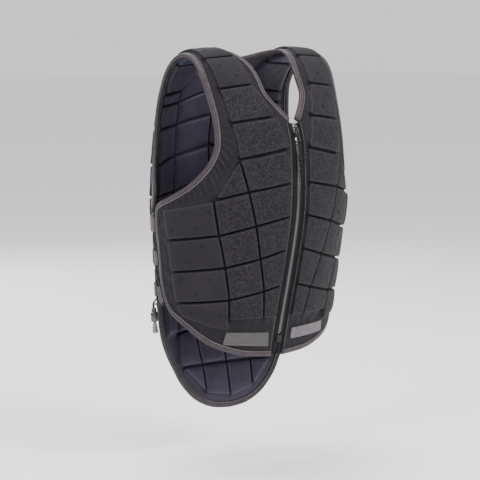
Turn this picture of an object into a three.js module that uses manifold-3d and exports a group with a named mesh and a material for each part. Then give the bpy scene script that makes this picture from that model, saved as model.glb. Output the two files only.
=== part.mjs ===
// Riding body protector for an adult, shown in its worn form: two padded front panels with a zip between them,
// a padded back panel with a tail guard, taped edges, laced sides and two plain labels.
// Millimetres, +Z up, the front faces -Y and +X is the wearer's left. The origin is midway between the two
// shoulder straps, level with their lining, where the wearer's shoulders carry the vest.
import * as THREE from "three";
import { mergeVertices } from "three/addons/utils/BufferGeometryUtils.js";
import Module from "manifold-3d";

const wasm = await Module();
wasm.setup();

// Driving dimensions of the body inside the lining.
const CHEST_WIDTH = 360;
const CHEST_FRONT = 114; // from the shoulder line forward to the lining
const CHEST_BACK = 105; // from the shoulder line back to the lining
const YOKE_RISE = 168; // from the widest chest up to the shoulder line
const FRONT_DROP = 354; // from the widest chest down to the hem at the zip
const SHOULDER_SLOPE = 10; // fall of the shoulder line towards the arm
const COLLAR_HOLLOW = 0.13; // how far the front sinks in under the collar bones
const YOKE_FLARE = 0.12; // how much wider the form is at the shoulder line

// Driving dimensions of the padding.
const PADDING = 20; // lining face to outer face
const SKIN_INSIDE = 8; // the sewn channels lie this far outside the lining face
const SKIN = 4; // the two fabrics and thin foam in a channel
const GROOVE = 3; // between two tiles, at their feet
const TILE_SLOPE = 2.2; // how far a tile's walls lean in
const PILLOW = 1; // swell of a tile's middle
const BOW = 0.5; // swell of a tile's sides, seen from the front
const CLEAR = 0.3;

// Edges, zip, lacing and labels.
const TAPE = 10; // width of the edge tape seen on each side
const TAPE_THICK = 8;
const ZIP_TAPE = 25; // both tapes together
const ZIP_TAPE_THICK = 1.4;
const CHAIN = 7;
const CHAIN_THICK = 4.4;
const TOOTH_PITCH = 8;
const TOOTH_CROSS = 0.25; // how far a tooth reaches past the middle, as a share of the chain's width
const SLIDER = { width: 12, length: 17, thick: 8.4 };
const BRIDGE = { width: 4, length: 11, rise: 5, hole: 3.4, roof: 1.2 };
const LINK = { wire: 1.5, width: 6.5, length: 17, lean: 0.06, corner: 1.46 };
const PULL = { width: 7, length: 54, thick: 2.6, lean: 0.13, eye: 4.2, hole: 2.4, neck: 3.2 };
const BOX = { width: 11, length: 14, thick: 6.5 };
const LOOP = { reach: 13, length: 24, thick: 7.6, web: 1.5 };
const LACE = 3;
const LACE_APART = 0.6; // between two strands that cross
const LOCK = { radius: 6.5, length: 24, rim: 2 };
const CORD_END = { radius: 5.4, length: 19, neck: 2, rim: 1 };
const PATCH = 2;
const STEP = 26; // longest facet along an edge
const TILE_STEP = 50; // a tile's longer side is halved
const ALONG = 0.01; // a short way along the form, in levels
const HAIR = 0.0001;

const half = (v) => v / 2;
const radians = THREE.MathUtils.degToRad;
const MIDDLE = SKIN_INSIDE + half(SKIN); // the middle of the sewn skin, where tapes and zip are seated

// Levels run from 0 at the widest chest down to -1 at the zip's hem and up to 1 on the shoulder line.
// Angles run round the body in degrees: 0 at the zip, 90 at the wearer's left side, 180 at the spine.
const SECTIONS = [
  // level, and the shares of half the chest width, of the front and of the back, then how square the back is
  { level: 0.0, width: 1.0, front: 1.0, back: 1.0, square: 2.0 },
  { level: -0.14, width: 1.0, front: 1.018, back: 1.01, square: 2.05 },
  { level: -0.28, width: 0.989, front: 0.991, back: 1.01, square: 2.2 },
  { level: -0.45, width: 0.944, front: 0.895, back: 0.971, square: 2.4 },
  { level: -0.62, width: 0.917, front: 0.772, back: 0.914, square: 2.6 },
  { level: -0.79, width: 0.9, front: 0.64, back: 0.81, square: 2.8 },
  { level: -0.96, width: 0.889, front: 0.526, back: 0.629, square: 3.0 },
  { level: -1.13, width: 0.878, front: 0.456, back: 0.495, square: 3.0 },
  { level: -1.31, width: 0.867, front: 0.404, back: 0.4, square: 3.0 },
];

// A point of a front panel's edge beside the zip tapes.
function besideZip(level) {
  const reach = half(ZIP_TAPE) + CLEAR;
  return [THREE.MathUtils.radToDeg(Math.asin(reach / halfWidthAt(level))), level];
}

// Edges of the left front panel and of the back panel's left half, as angle and level.
const FRONT_EDGE = {
  zip: [0.215, -0.1, -0.4, -0.7, -0.948].map(besideZip),
  hem: [besideZip(-0.948), [24, -0.934], [37, -0.91], [50, -0.878], [61, -0.838], [71, -0.795], [81, -0.757]],
  side: [[81, -0.757], [90, -0.727], [97.5, -0.677], [101.5, -0.6], [102.4, -0.49], [101.5, -0.33], [98.5, -0.241]],
  armhole: [[98.5, -0.241], [83.6, -0.207], [67.6, -0.147], [55.6, -0.066], [49.2, 0.024], [47.2, 0.116],
    [46.4, 0.244], [46.1, 0.472], [45.6, 0.651], [44.4, 0.847], [43.4, 1]],
  shoulder: [[43.4, 1], [22, 1]],
  neck: [[22, 1], [18.8, 0.8], [16.2, 0.67], [15, 0.54], [14.6, 0.43], [13, 0.365], [9, 0.29], besideZip(0.215)],
};
const BACK_EDGE = {
  neck: [[180, 0.71], [172, 0.73], [166, 0.79], [161, 0.89], [158, 1]],
  shoulder: [[158, 1], [136.6, 1]],
  armhole: [[136.6, 1], [136, 0.77], [135, 0.6], [134, 0.474], [131.5, 0.339], [129, 0.197], [126, 0.065],
    [121, -0.04], [114, -0.12], [109.5, -0.16]],
  side: [[109.5, -0.16], [110, -0.19], [117, -0.22], [124.5, -0.25], [127, -0.32], [128, -0.5], [127, -0.83]],
  tail: [[127, -0.83], [128.5, -0.88], [133, -0.945], [140.5, -1.045], [145, -1.11], [152, -1.175], [159, -1.215],
    [168, -1.242], [180, -1.252]],
};

// Levels of the zip's pieces and of the lacing, and the labels' corners.
const ZIP_LEVELS = { tapeLow: -0.965, tapeTop: 0.205, chainLow: -0.862, chainTop: 0.104, slider: 0.145, box: -0.885 };
const LACE_LEVELS = [-0.325, -0.488, -0.65];
const LOCK_LEVEL = -0.765;
const LOCK_ANGLE = 113;
const LOCK_HEIGHT = 22;
const RUBBER_PATCH = [[-42.6, -0.895], [-7.6, -0.919], [-9.1, -0.847], [-40.4, -0.833]];
const WOVEN_PATCH = [[9.6, -0.894], [43, -0.882], [42, -0.828], [9.2, -0.838]];

// Tile corners on the left front panel, row by row, each as angle and level.
const FRONT_CORNERS = {
  S0: [[24, 0.992], [41.5, 0.992]],
  S1: [[20.8, 0.772], [42.0, 0.775]],
  S2: [[19.6, 0.481], [41.0, 0.464]],
  A: [[12.4, 0.242], [39.8, 0.214]],
  B: [[6.3, 0.052], [36.9, -0.004]],
  C: [[5.8, -0.123], [31.8, -0.158], [52.3, -0.194], [89, -0.246]],
  D: [[5.8, -0.277], [27.0, -0.316], [49.2, -0.357], [87.5, -0.386]],
  E: [[5.8, -0.435], [23.1, -0.475], [45.0, -0.513], [86, -0.542]],
  F: [[5.8, -0.61], [17.9, -0.634], [40.7, -0.671], [82.5, -0.692]],
  G: [[5.8, -0.772], [15.3, -0.774], [39.5, -0.77]],
  H: [[39.5, -0.822], [53.6, -0.806], [77, -0.757]],
};
// The same on the back panel, from the spine out to the side.
const BACK_CORNERS = {
  S0: [[156, 0.992], [138.2, 0.992]],
  S1: [[158, 0.75], [137.6, 0.75]],
  A: [[180, 0.64], [160, 0.6], [151, 0.444], [135.8, 0.42]],
  B: [[180, 0.46], [151, 0.35], [133.5, 0.33]],
  C: [[180, 0.25], [151, 0.19], [130.5, 0.165]],
  D: [[180, 0.04], [150.5, -0.015], [124, -0.055]],
  E: [[180, -0.14], [150, -0.19], [125, -0.21]],
  F: [[180, -0.32], [149.5, -0.36], [131, -0.385]],
  G: [[180, -0.5], [149, -0.53], [131.5, -0.555]],
  H: [[180, -0.68], [148.5, -0.7], [131.5, -0.72]],
  I: [[180, -0.86], [159, -0.872], [146, -0.885], [132.5, -0.89]],
  J: [[180, -1.05], [160.5, -1.05], [143.5, -1.05]],
  K: [[180, -1.225], [161, -1.195]],
};


// The section shares at a level, on a smooth curve through the table's rows.
function sectionAt(level) {
  const rows = SECTIONS;
  const at = THREE.MathUtils.clamp(level, rows[rows.length - 1].level, 0);
  let i = 0;
  while (i < rows.length - 2 && at < rows[i + 1].level) i += 1;
  const span = rows[i + 1].level - rows[i].level;
  const t = (at - rows[i].level) / span;
  const slope = (name, k) => {
    const before = rows[Math.max(k - 1, 0)];
    const after = rows[Math.min(k + 1, rows.length - 1)];
    return (after[name] - before[name]) / (after.level - before.level);
  };
  const curve = (name) => {
    const [p, q] = [rows[i][name], rows[i + 1][name]];
    const [m, n] = [slope(name, i) * span, slope(name, i + 1) * span];
    return p + t * (m + t * (3 * (q - p) - 2 * m - n + t * (2 * (p - q) + m + n)));
  };
  return { width: curve("width"), front: curve("front"), back: curve("back"), square: curve("square") };
}

// Half the lining's width at a level.
function halfWidthAt(level) {
  const flare = YOKE_FLARE * Math.sin((Math.PI / 2) * Math.max(level, 0)) ** 2;
  return half(CHEST_WIDTH) * sectionAt(Math.min(level, 0)).width * (1 + flare);
}

// A point of the lining face. Past level 1 the path goes on down the other side of the shoulder line.
function liningPoint(angle, level) {
  const over = level > 1;
  const a = radians(over ? 180 - angle : angle);
  const rise = (Math.PI / 2) * Math.max(over ? 2 - level : level, 0);
  const row = sectionAt(Math.min(level, 0));
  const [s, c] = [Math.sin(a), Math.cos(a)];
  const n = c > 0 ? 2 : row.square;
  const q = (Math.abs(s) ** n + Math.abs(c) ** n) ** (1 / n);
  const hollow = 1 - COLLAR_HOLLOW * Math.sin(2 * rise) ** 2;
  const depth = c > 0 ? CHEST_FRONT * row.front * hollow : CHEST_BACK * row.back;
  const x = (halfWidthAt(over ? 2 - level : level) * s) / q;
  const fall = SHOULDER_SLOPE * ((x / half(CHEST_WIDTH)) * Math.sin(rise)) ** 2;
  const z = Math.min(level, 0) * FRONT_DROP - YOKE_RISE * (1 - Math.sin(rise)) - fall;
  return new THREE.Vector3(x, ((-depth * c) / q) * Math.cos(rise), z);
}

// The lining face's outward normal.
function normalAt(angle, level) {
  const e = 1e-3;
  const round = liningPoint(angle + 50 * e, level).sub(liningPoint(angle - 50 * e, level));
  const up = liningPoint(angle, level + e).sub(liningPoint(angle, level - e));
  return round.cross(up).normalize();
}

const formPoint = (angle, level, height) =>
  liningPoint(angle, level).addScaledVector(normalAt(angle, level), height);

// The pattern lays the form out nearly flat, in millimetres, so that widths and steps can be measured on it.
const ROUND = radians(half(CHEST_WIDTH));
const YOKE_ARC = (Math.PI / 2) * Math.hypot(CHEST_FRONT, YOKE_RISE) * Math.SQRT1_2;
const toPattern = ([angle, level]) => new THREE.Vector2(angle * ROUND, level * (level < 0 ? FRONT_DROP : YOKE_ARC));
const fromPattern = (p) => [p.x / ROUND, p.y / (p.y < 0 ? FRONT_DROP : YOKE_ARC)];
const onForm = (p, height) => formPoint(...fromPattern(p), height);

// Points along a smooth pattern curve through table rows, no further than a step apart.
function smoothEdge(rows, step = STEP) {
  const knots = rows.map(toPattern);
  const curve = new THREE.SplineCurve(knots);
  const count = Math.max(Math.round(curve.getLength() / step), 1);
  return curve.getSpacedPoints(count);
}

const mirrorRows = (rows, axis) => rows.map(([angle, level]) => [2 * axis - angle, level]).reverse();

// A closed run of pattern edges, anticlockwise from outside, with each edge's own points kept by name.
function outlineOf(edges) {
  const outline = [];
  const stretch = {};
  for (const [name, rows] of edges) {
    const points = smoothEdge(rows);
    stretch[name] = points;
    outline.push(...points.slice(0, -1));
  }
  return { outline, stretch };
}

// Moves a closed outline's corners inwards, each along its own mitre.
function insetOutline(points, distance) {
  return points.map((p, i) => {
    const before = points[(i + points.length - 1) % points.length];
    const after = points[(i + 1) % points.length];
    const u = p.clone().sub(before).normalize();
    const v = after.clone().sub(p).normalize();
    const inward = new THREE.Vector2(-(u.y + v.y), u.x + v.x).normalize();
    const mitre = Math.min(1 / Math.max(inward.dot(new THREE.Vector2(-u.y, u.x)), 0.5), 2);
    return p.clone().addScaledVector(inward, distance * mitre);
  });
}

// A tile's foot from its corners: long sides are halved and bow out a little.
function tileFoot(corners) {
  let points = corners.map(toPattern);
  if (THREE.ShapeUtils.area(points) < 0) points.reverse();
  points = insetOutline(points, half(GROOVE));
  const foot = [];
  points.forEach((p, i) => {
    const next = points[(i + 1) % points.length];
    const along = next.clone().sub(p);
    const length = along.length();
    const outward = new THREE.Vector2(along.y, -along.x).normalize();
    foot.push(p);
    const parts = Math.ceil(length / TILE_STEP);
    for (let k = 1; k < parts; k += 1) {
      const share = k / parts;
      const swell = BOW * 4 * share * (1 - share);
      foot.push(p.clone().lerp(next, share).addScaledVector(outward, swell));
    }
  });
  return foot;
}

// A mesh from its points and its triangles' point numbers.
function solidGeometry(vertices, faces) {
  const geometry = new THREE.BufferGeometry();
  geometry.setAttribute("position", new THREE.Float32BufferAttribute(vertices.flatMap((v) => v.toArray()), 3));
  geometry.setIndex(faces.flat());
  return geometry;
}

// Triangles between an outline and the feet in it. Points on a straight line are told apart by a hair's shift,
// because the triangulation leaves out such points.
function fillBetween(outline, feet) {
  const loops = [outline, ...feet];
  let count = 0;
  const shifted = loops.map((points) => points.map((p) => {
    count += 1;
    return new THREE.Vector2(p.x + HAIR * Math.sin(7 * count), p.y + HAIR * Math.cos(11 * count));
  }));
  const plan = shifted.flat();
  return THREE.ShapeUtils.triangulateShape(shifted[0], shifted.slice(1)).map(([a, b, c]) =>
    THREE.ShapeUtils.area([plan[a], plan[b], plan[c]]) > 0 ? [a, b, c] : [a, c, b]);
}

// A padded panel: a thin sewn skin with tiles that rise from it outside and inside.
function panelGeometry(outline, tiles, flats = []) {
  const feet = [...tiles, ...flats].map(tileFoot);
  const plan = [outline, ...feet].flat();
  const channels = fillBetween(outline, feet);
  const vertices = [];
  const faces = [];
  const SIDES = [
    { skin: SKIN_INSIDE + SKIN, face: PADDING - PILLOW, middle: PADDING, out: true },
    { skin: SKIN_INSIDE, face: PILLOW, middle: 0, out: false },
  ];
  for (const side of SIDES) {
    const turn = side.out ? (f) => f : ([a, b, c]) => [a, c, b];
    const start = vertices.length;
    plan.forEach((p) => vertices.push(onForm(p, side.skin)));
    channels.forEach((f) => faces.push(turn(f.map((i) => start + i))));
    let foot = start + outline.length;
    feet.forEach((points, t) => {
      const n = points.length;
      const raised = t < tiles.length;
      const rim = raised ? vertices.length : foot;
      if (raised) insetOutline(points, TILE_SLOPE).forEach((p) => vertices.push(onForm(p, side.face)));
      const centre = points.reduce((sum, p) => sum.add(p), new THREE.Vector2()).divideScalar(n);
      const middle = vertices.push(onForm(centre, raised ? side.middle : side.skin)) - 1;
      for (let i = 0; i < n; i += 1) {
        const j = (i + 1) % n;
        if (raised) faces.push(turn([foot + i, foot + j, rim + j]), turn([foot + i, rim + j, rim + i]));
        faces.push(turn([rim + i, rim + j, middle]));
      }
      foot += n;
    });
  }
  const inner = half(vertices.length);
  for (let i = 0; i < outline.length; i += 1) {
    const j = (i + 1) % outline.length;
    faces.push([i, inner + i, inner + j], [i, inner + j, j]);
  }
  return solidGeometry(vertices, faces);
}

// Triangles that fill a section, anticlockwise.
function capFaces(section) {
  const points = section.map(([w, h]) => new THREE.Vector2(w, h));
  return THREE.ShapeUtils.triangulateShape(points, []).map(([a, b, c]) =>
    THREE.ShapeUtils.area([points[a], points[b], points[c]]) > 0 ? [a, b, c] : [a, c, b]);
}

// A strip laid along a pattern path. The section's rows are [aside, height]: aside is to the right of the path
// as seen from outside, height is from the lining face. sectionOf may change along the path.
function stripGeometry(path, sectionOf) {
  const base = path.map((p) => onForm(p, SKIN_INSIDE));
  const vertices = [];
  const faces = [];
  const sides = sectionOf(0).length;
  path.forEach((p, i) => {
    const normal = normalAt(...fromPattern(p));
    const back = i > 0 ? base[i].clone().sub(base[i - 1]).normalize() : null;
    const ahead = i < path.length - 1 ? base[i + 1].clone().sub(base[i]).normalize() : null;
    const along = (back ?? ahead).clone().add(ahead ?? back).normalize();
    const aside = along.clone().cross(normal).normalize();
    const mitre = 1 / Math.max(along.dot(ahead ?? back), 0.6);
    for (const [w, h] of sectionOf(i))
      vertices.push(base[i].clone().addScaledVector(aside, w * mitre).addScaledVector(normal, h - SKIN_INSIDE));
  });
  for (let i = 0; i < path.length - 1; i += 1)
    for (let k = 0; k < sides; k += 1) {
      const [a, b] = [i * sides + k, i * sides + ((k + 1) % sides)];
      faces.push([a, b + sides, b], [a, a + sides, b + sides]);
    }
  const last = (path.length - 1) * sides;
  for (const [a, b, c] of capFaces(sectionOf(0))) faces.push([a, b, c]);
  for (const [a, b, c] of capFaces(sectionOf(path.length - 1))) faces.push([last + a, last + c, last + b]);
  return solidGeometry(vertices, faces);
}

// Drops points that nearly coincide, where two panels' edges meet.
const withoutTwins = (points) =>
  points.filter((p, i) => i === 0 || onForm(p, 0).distanceTo(onForm(points[i - 1], 0)) > 3);

// Edge tape: a flat bar with a rounded outer side, seated on a panel's edge.
function tapeGeometry(path) {
  const thick = half(TAPE_THICK);
  const section = [
    [CLEAR, MIDDLE - thick * 0.8],
    [CLEAR + TAPE * 0.7, MIDDLE - thick],
    [CLEAR + TAPE, MIDDLE - thick * 0.35],
    [CLEAR + TAPE, MIDDLE + thick * 0.35],
    [CLEAR + TAPE * 0.7, MIDDLE + thick],
    [CLEAR, MIDDLE + thick * 0.8],
  ];
  return stripGeometry(path, () => section);
}

// A sheet over four pattern corners, given in order round it.
function sheetGeometry(corners, low, high, parts) {
  const [a, b, c, d] = corners.map(toPattern);
  const vertices = [];
  const faces = [];
  for (const height of [low, high])
    for (let i = 0; i <= parts; i += 1)
      for (const [p, q] of [[a, b], [d, c]])
        vertices.push(onForm(p.clone().lerp(q, i / parts), height));
  const top = 2 * (parts + 1);
  for (let i = 0; i < parts; i += 1) {
    const k = 2 * i;
    faces.push([top + k, top + k + 2, top + k + 3], [top + k, top + k + 3, top + k + 1]);
    faces.push([k, k + 3, k + 2], [k, k + 1, k + 3]);
    faces.push([k, k + 2, top + k + 2], [k, top + k + 2, top + k]);
    faces.push([k + 1, top + k + 3, k + 3], [k + 1, top + k + 1, top + k + 3]);
  }
  const end = 2 * parts;
  faces.push([0, top, top + 1], [0, top + 1, 1]);
  faces.push([end, top + end + 1, top + end], [end, end + 1, top + end + 1]);
  return solidGeometry(vertices, faces);
}

// Joins and cuts of closed geometries.
function toSolid(geometry) {
  const plain = geometry.clone().deleteAttribute("normal").deleteAttribute("uv");
  const merged = mergeVertices(plain, 1e-4);
  return new wasm.Manifold(new wasm.Mesh({
    numProp: 3,
    vertProperties: merged.attributes.position.array,
    triVerts: new Uint32Array(merged.index.array),
  }));
}

function fromSolid(solid) {
  const mesh = solid.getMesh();
  const geometry = new THREE.BufferGeometry();
  geometry.setAttribute("position", new THREE.BufferAttribute(new Float32Array(mesh.vertProperties), 3));
  geometry.setIndex(new THREE.BufferAttribute(new Uint32Array(mesh.triVerts), 1));
  return geometry;
}

// Local frame on the form: x to the wearer's left, y up along the form, z outwards.
function frameOnForm(angle, level, height) {
  const normal = normalAt(angle, level);
  const up = liningPoint(angle, level + ALONG).sub(liningPoint(angle, level - ALONG)).normalize();
  const left = up.clone().cross(normal).normalize();
  const matrix = new THREE.Matrix4().makeBasis(left, normal.clone().cross(left), normal);
  return matrix.setPosition(formPoint(angle, level, height));
}

// Colours and finishes.
const FINISHES = {
  outer: { color: 0x1b1b1d, roughness: 0.85, metalness: 0 },
  tape: { color: 0x2c272c, roughness: 0.7, metalness: 0 },
  zip: { color: 0x0d0d0e, roughness: 0.35, metalness: 0 },
  metal: { color: 0x1a1a1c, roughness: 0.25, metalness: 0.8 },
  loop: { color: 0x3a3438, roughness: 0.75, metalness: 0 },
  lace: { color: 0x141315, roughness: 0.8, metalness: 0 },
  lock: { color: 0x6d6d70, roughness: 0.3, metalness: 0 },
  rubber: { color: 0x55565a, roughness: 0.6, metalness: 0 },
  woven: { color: 0x6b6b6e, roughness: 0.8, metalness: 0 },
};

const vest = new THREE.Group();

function addPiece(name, geometry, finish) {
  const mesh = new THREE.Mesh(geometry, new THREE.MeshStandardMaterial(FINISHES[finish]));
  geometry.computeVertexNormals();
  mesh.name = name;
  vest.add(mesh);
  return mesh;
}

// Tile corner lists, worked out from the corner rows.
function frontTiles() {
  const c = FRONT_CORNERS;
  const quad = (up, down, i, j = i + 1) => [c[down][i], c[down][j], c[up][j], c[up][i]];
  const tiles = [quad("S0", "S1", 0), quad("S1", "S2", 0), quad("S2", "A", 0), quad("A", "B", 0)];
  tiles.push(quad("B", "C", 0));
  tiles.push([c.C[1], c.C[2], c.B[1]]);
  for (const [up, down] of [["C", "D"], ["D", "E"], ["E", "F"]])
    for (let i = 0; i < 3; i += 1) tiles.push(quad(up, down, i));
  tiles.push(quad("F", "G", 0), quad("F", "G", 1));
  tiles.push([c.H[0], c.H[1], c.H[2], c.F[3], c.F[2]]);
  return tiles;
}

function backTiles() {
  const c = BACK_CORNERS;
  const quad = (up, down, i, k = i) => [c[down][k + 1], c[down][k], c[up][i], c[up][i + 1]];
  const tiles = [quad("S0", "S1", 0)];
  tiles.push([c.A[3], c.A[2], c.A[1], c.S1[0], c.S1[1]]);
  tiles.push([c.B[1], c.B[0], c.A[0], c.A[1], c.A[2]], [c.B[2], c.B[1], c.A[2], c.A[3]]);
  for (const [up, down] of [["B", "C"], ["C", "D"], ["D", "E"], ["E", "F"], ["F", "G"], ["G", "H"]])
    for (let i = 0; i < 2; i += 1) tiles.push(quad(up, down, i));
  tiles.push([c.I[1], c.I[0], c.H[0], c.H[1]], [c.I[2], c.I[1], c.H[1]], [c.I[3], c.I[2], c.H[1], c.H[2]]);
  tiles.push(quad("I", "J", 0), quad("I", "J", 1), quad("J", "K", 0));
  tiles.push([c.K[1], c.J[2], c.J[1]]);
  return tiles;
}

const mirrorTile = (axis) => (corners) => mirrorRows(corners, axis);

// The flat field between the lowest tiles and the hem carries a label.
const LABEL_FIELD = [
  [[6, -0.92], [22, -0.915], [22, -0.8], [6, -0.8]],
  [[22, -0.915], [38, -0.89], [38, -0.8], [22, -0.8]],
];

// The front and back panels leave a small gap along the shoulder line.
const gapAt = (level) => (level === 1 ? 1 - (2 * CLEAR) / YOKE_ARC : level);
const seamed = (rows) => rows.map(([angle, level]) => [angle, gapAt(level)]);

// The front panels' and the back panel's outlines, each with its own edges kept by name.
const FRONT_ORDER = ["hem", "side", "armhole", "shoulder", "neck", "zip"];
const BACK_ORDER = ["neck", "shoulder", "armhole", "side", "tail"];
const leftFront = outlineOf(FRONT_ORDER.map((n) => [n, seamed(FRONT_EDGE[n])]));
const rightFront = outlineOf(FRONT_ORDER.toReversed().map((n) => [n, mirrorRows(seamed(FRONT_EDGE[n]), 0)]));
const back = outlineOf([
  ...BACK_ORDER.map((n) => [n + "_left", seamed(BACK_EDGE[n])]),
  ...BACK_ORDER.toReversed().map((n) => [n + "_right", mirrorRows(seamed(BACK_EDGE[n]), 180)]),
]);

function addPanels() {
  const front = frontTiles();
  const rear = backTiles();
  addPiece("front_left", panelGeometry(leftFront.outline, front, LABEL_FIELD), "outer");
  addPiece("front_right", panelGeometry(rightFront.outline, front.map(mirrorTile(0)),
    LABEL_FIELD.map(mirrorTile(0))), "outer");
  addPiece("back", panelGeometry(back.outline, [...rear, ...rear.map(mirrorTile(180))]), "outer");
}

// One tape runs from the zip round the hem, up the side, over the armhole and down the back on each side.
function addBindings() {
  const edge = (outline, names) => names.flatMap((n) => outline.stretch[n]);
  const left = [...edge(leftFront, ["hem", "side", "armhole"]), ...edge(back, ["armhole_left", "side_left"])];
  const right = [...edge(back, ["side_right", "armhole_right"]), ...edge(rightFront, ["armhole", "side", "hem"])];
  const neck = [
    ...rightFront.stretch.neck,
    ...edge(back, ["neck_right", "neck_left"]),
    ...leftFront.stretch.neck,
  ];
  addPiece("binding_left", tapeGeometry(withoutTwins(left)), "tape");
  addPiece("binding_right", tapeGeometry(withoutTwins(right)), "tape");
  addPiece("binding_neck", tapeGeometry(withoutTwins(neck)), "tape");
  const tail = withoutTwins(edge(back, ["tail_left", "tail_right"])).map((p) => p.clone());
  for (const [end, next] of [[tail[0], tail[1]], [tail[tail.length - 1], tail[tail.length - 2]]])
    end.add(next.clone().sub(end).setLength(3 * CLEAR));
  addPiece("binding_tail", tapeGeometry(tail), "tape");
}

// A path down the middle of the front between two levels.
const zipPath = (low, high, step) => smoothEdge([low, low * 0.7 + high * 0.3, low * 0.35 + high * 0.65, high]
  .map((level) => [0, level]), step);

function rectangle(x0, x1, low, high) {
  return [[x0, low], [x1, low], [x1, high], [x0, high]];
}

// A moulded or cast piece that grips both tapes: a plate above, a plate below and a post between them.
function gripSolid(size) {
  const slot = ZIP_TAPE_THICK + 6 * CLEAR;
  const plate = half(size.thick - slot);
  const post = CHAIN - 2 * CLEAR;
  const box = (w, l, t, z) => toSolid(new THREE.BoxGeometry(w, l, t).translate(0, 0, z));
  return box(size.width, size.length, plate, half(slot + plate))
    .add(box(size.width, size.length, plate, -half(slot + plate)))
    .add(box(post, size.length - 2, size.thick - 0.4, 0));
}

function barSolid(radius, length) {
  return toSolid(new THREE.CylinderGeometry(radius, radius, length, 12).rotateZ(Math.PI / 2));
}

// A closed wire ring with round ends, flat in x and y, with its top bar's middle at the origin.
function linkGeometry(link) {
  const { corner } = link;
  const sides = 6;
  const shape = [];
  const centres = [[1, 0], [-1, 0], [-1, 1], [1, 1]];
  centres.forEach(([sx, down], k) => {
    for (let i = 0; i <= 2; i += 1) {
      const turn = (Math.PI / 2) * (k + i / 2);
      const x = sx * (half(link.width) - corner) + corner * Math.cos(turn);
      const y = -corner - down * (link.length - 2 * corner) + corner * Math.sin(turn);
      shape.push(new THREE.Vector2(x, y));
    }
  });
  const vertices = [];
  const faces = [];
  for (let k = 0; k < sides; k += 1) {
    const turn = (2 * Math.PI * k) / sides;
    const ring = insetOutline(shape, -half(link.wire) * Math.cos(turn));
    ring.forEach((p) => vertices.push(new THREE.Vector3(p.x, p.y, half(link.wire) * Math.sin(turn))));
  }
  const n = shape.length;
  for (let k = 0; k < sides; k += 1)
    for (let i = 0; i < n; i += 1) {
      const [a, b] = [k * n, ((k + 1) % sides) * n];
      const j = (i + 1) % n;
      faces.push([a + i, a + j, b + j], [a + i, b + j, b + i]);
    }
  return solidGeometry(vertices, faces);
}

function addZip() {
  const gap = half(CHAIN) + CLEAR;
  const tape = half(ZIP_TAPE_THICK);
  const wide = half(ZIP_TAPE);
  for (const [name, x0, x1] of [["zip_tape_left", gap, wide], ["zip_tape_right", -wide, -gap]]) {
    const path = zipPath(ZIP_LEVELS.tapeLow, ZIP_LEVELS.tapeTop, STEP);
    addPiece(name, stripGeometry(path, () => rectangle(x0, x1, MIDDLE - tape, MIDDLE + tape)), "outer");
  }
  const thick = half(CHAIN_THICK);
  const reach = half(CHAIN);
  const overlap = CHAIN * TOOTH_CROSS;
  const chain = zipPath(ZIP_LEVELS.chainLow, ZIP_LEVELS.chainTop, half(TOOTH_PITCH));
  const tooth = (i) => (Math.floor(half(i)) % 2 === 0 ? [-reach, overlap] : [-overlap, reach]);
  addPiece("zip_chain", stripGeometry(chain, (i) => rectangle(...tooth(i), MIDDLE - thick, MIDDLE + thick)), "zip");

  const onChain = (level, height) => frameOnForm(0, level, height);
  const sliderTop = half(SLIDER.thick);
  const eye = sliderTop + BRIDGE.rise - half(BRIDGE.hole) - BRIDGE.roof;
  const bridge = toSolid(new THREE.BoxGeometry(BRIDGE.width, BRIDGE.length, BRIDGE.rise + 1)
    .translate(0, 0, sliderTop + half(BRIDGE.rise - 1)));
  const hole = barSolid(half(BRIDGE.hole), 3 * BRIDGE.width).translate([0, 0, eye]);
  const slider = fromSolid(gripSolid(SLIDER).add(bridge).subtract(hole));
  addPiece("zip_slider", slider, "metal").applyMatrix4(onChain(ZIP_LEVELS.slider, MIDDLE));

  const hang = new THREE.Matrix4().makeTranslation(0, 0, eye);
  hang.multiply(new THREE.Matrix4().makeRotationX(LINK.lean));
  const place = onChain(ZIP_LEVELS.slider, MIDDLE).multiply(hang);
  addPiece("zip_link", linkGeometry(LINK), "metal").applyMatrix4(place);

  const tab = toSolid(new THREE.BoxGeometry(PULL.width, PULL.length, PULL.thick)
    .translate(0, -half(PULL.length) - PULL.neck, 0));
  const neck = toSolid(new THREE.BoxGeometry(BRIDGE.width, 2 * PULL.neck, PULL.eye));
  const pullHole = barSolid(half(PULL.hole), 3 * PULL.width);
  const pull = fromSolid(tab.add(neck).subtract(pullHole));
  const foot = new THREE.Matrix4().makeTranslation(0, -LINK.length, 0);
  foot.multiply(new THREE.Matrix4().makeRotationX(PULL.lean - LINK.lean));
  addPiece("zip_pull", pull, "zip").applyMatrix4(place.clone().multiply(foot));
  addPiece("zip_box", fromSolid(gripSolid(BOX)), "zip").applyMatrix4(onChain(ZIP_LEVELS.box, MIDDLE));
}

// A point on an edge of the pattern at a level.
function edgeAt(rows, level) {
  const curve = new THREE.SplineCurve(rows.map(toPattern));
  const y = toPattern([0, level]).y;
  const points = curve.getPoints(200);
  const i = points.findIndex((p, k) => k > 0 && (p.y - y) * (points[k - 1].y - y) <= 0);
  const [p, q] = [points[i - 1], points[i]];
  return p.clone().lerp(q, (y - p.y) / (q.y - p.y || 1));
}

// A loop's ends lie against the edge tape's outer side.
const LOOP_FOOT = TAPE + 3 * CLEAR;

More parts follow.
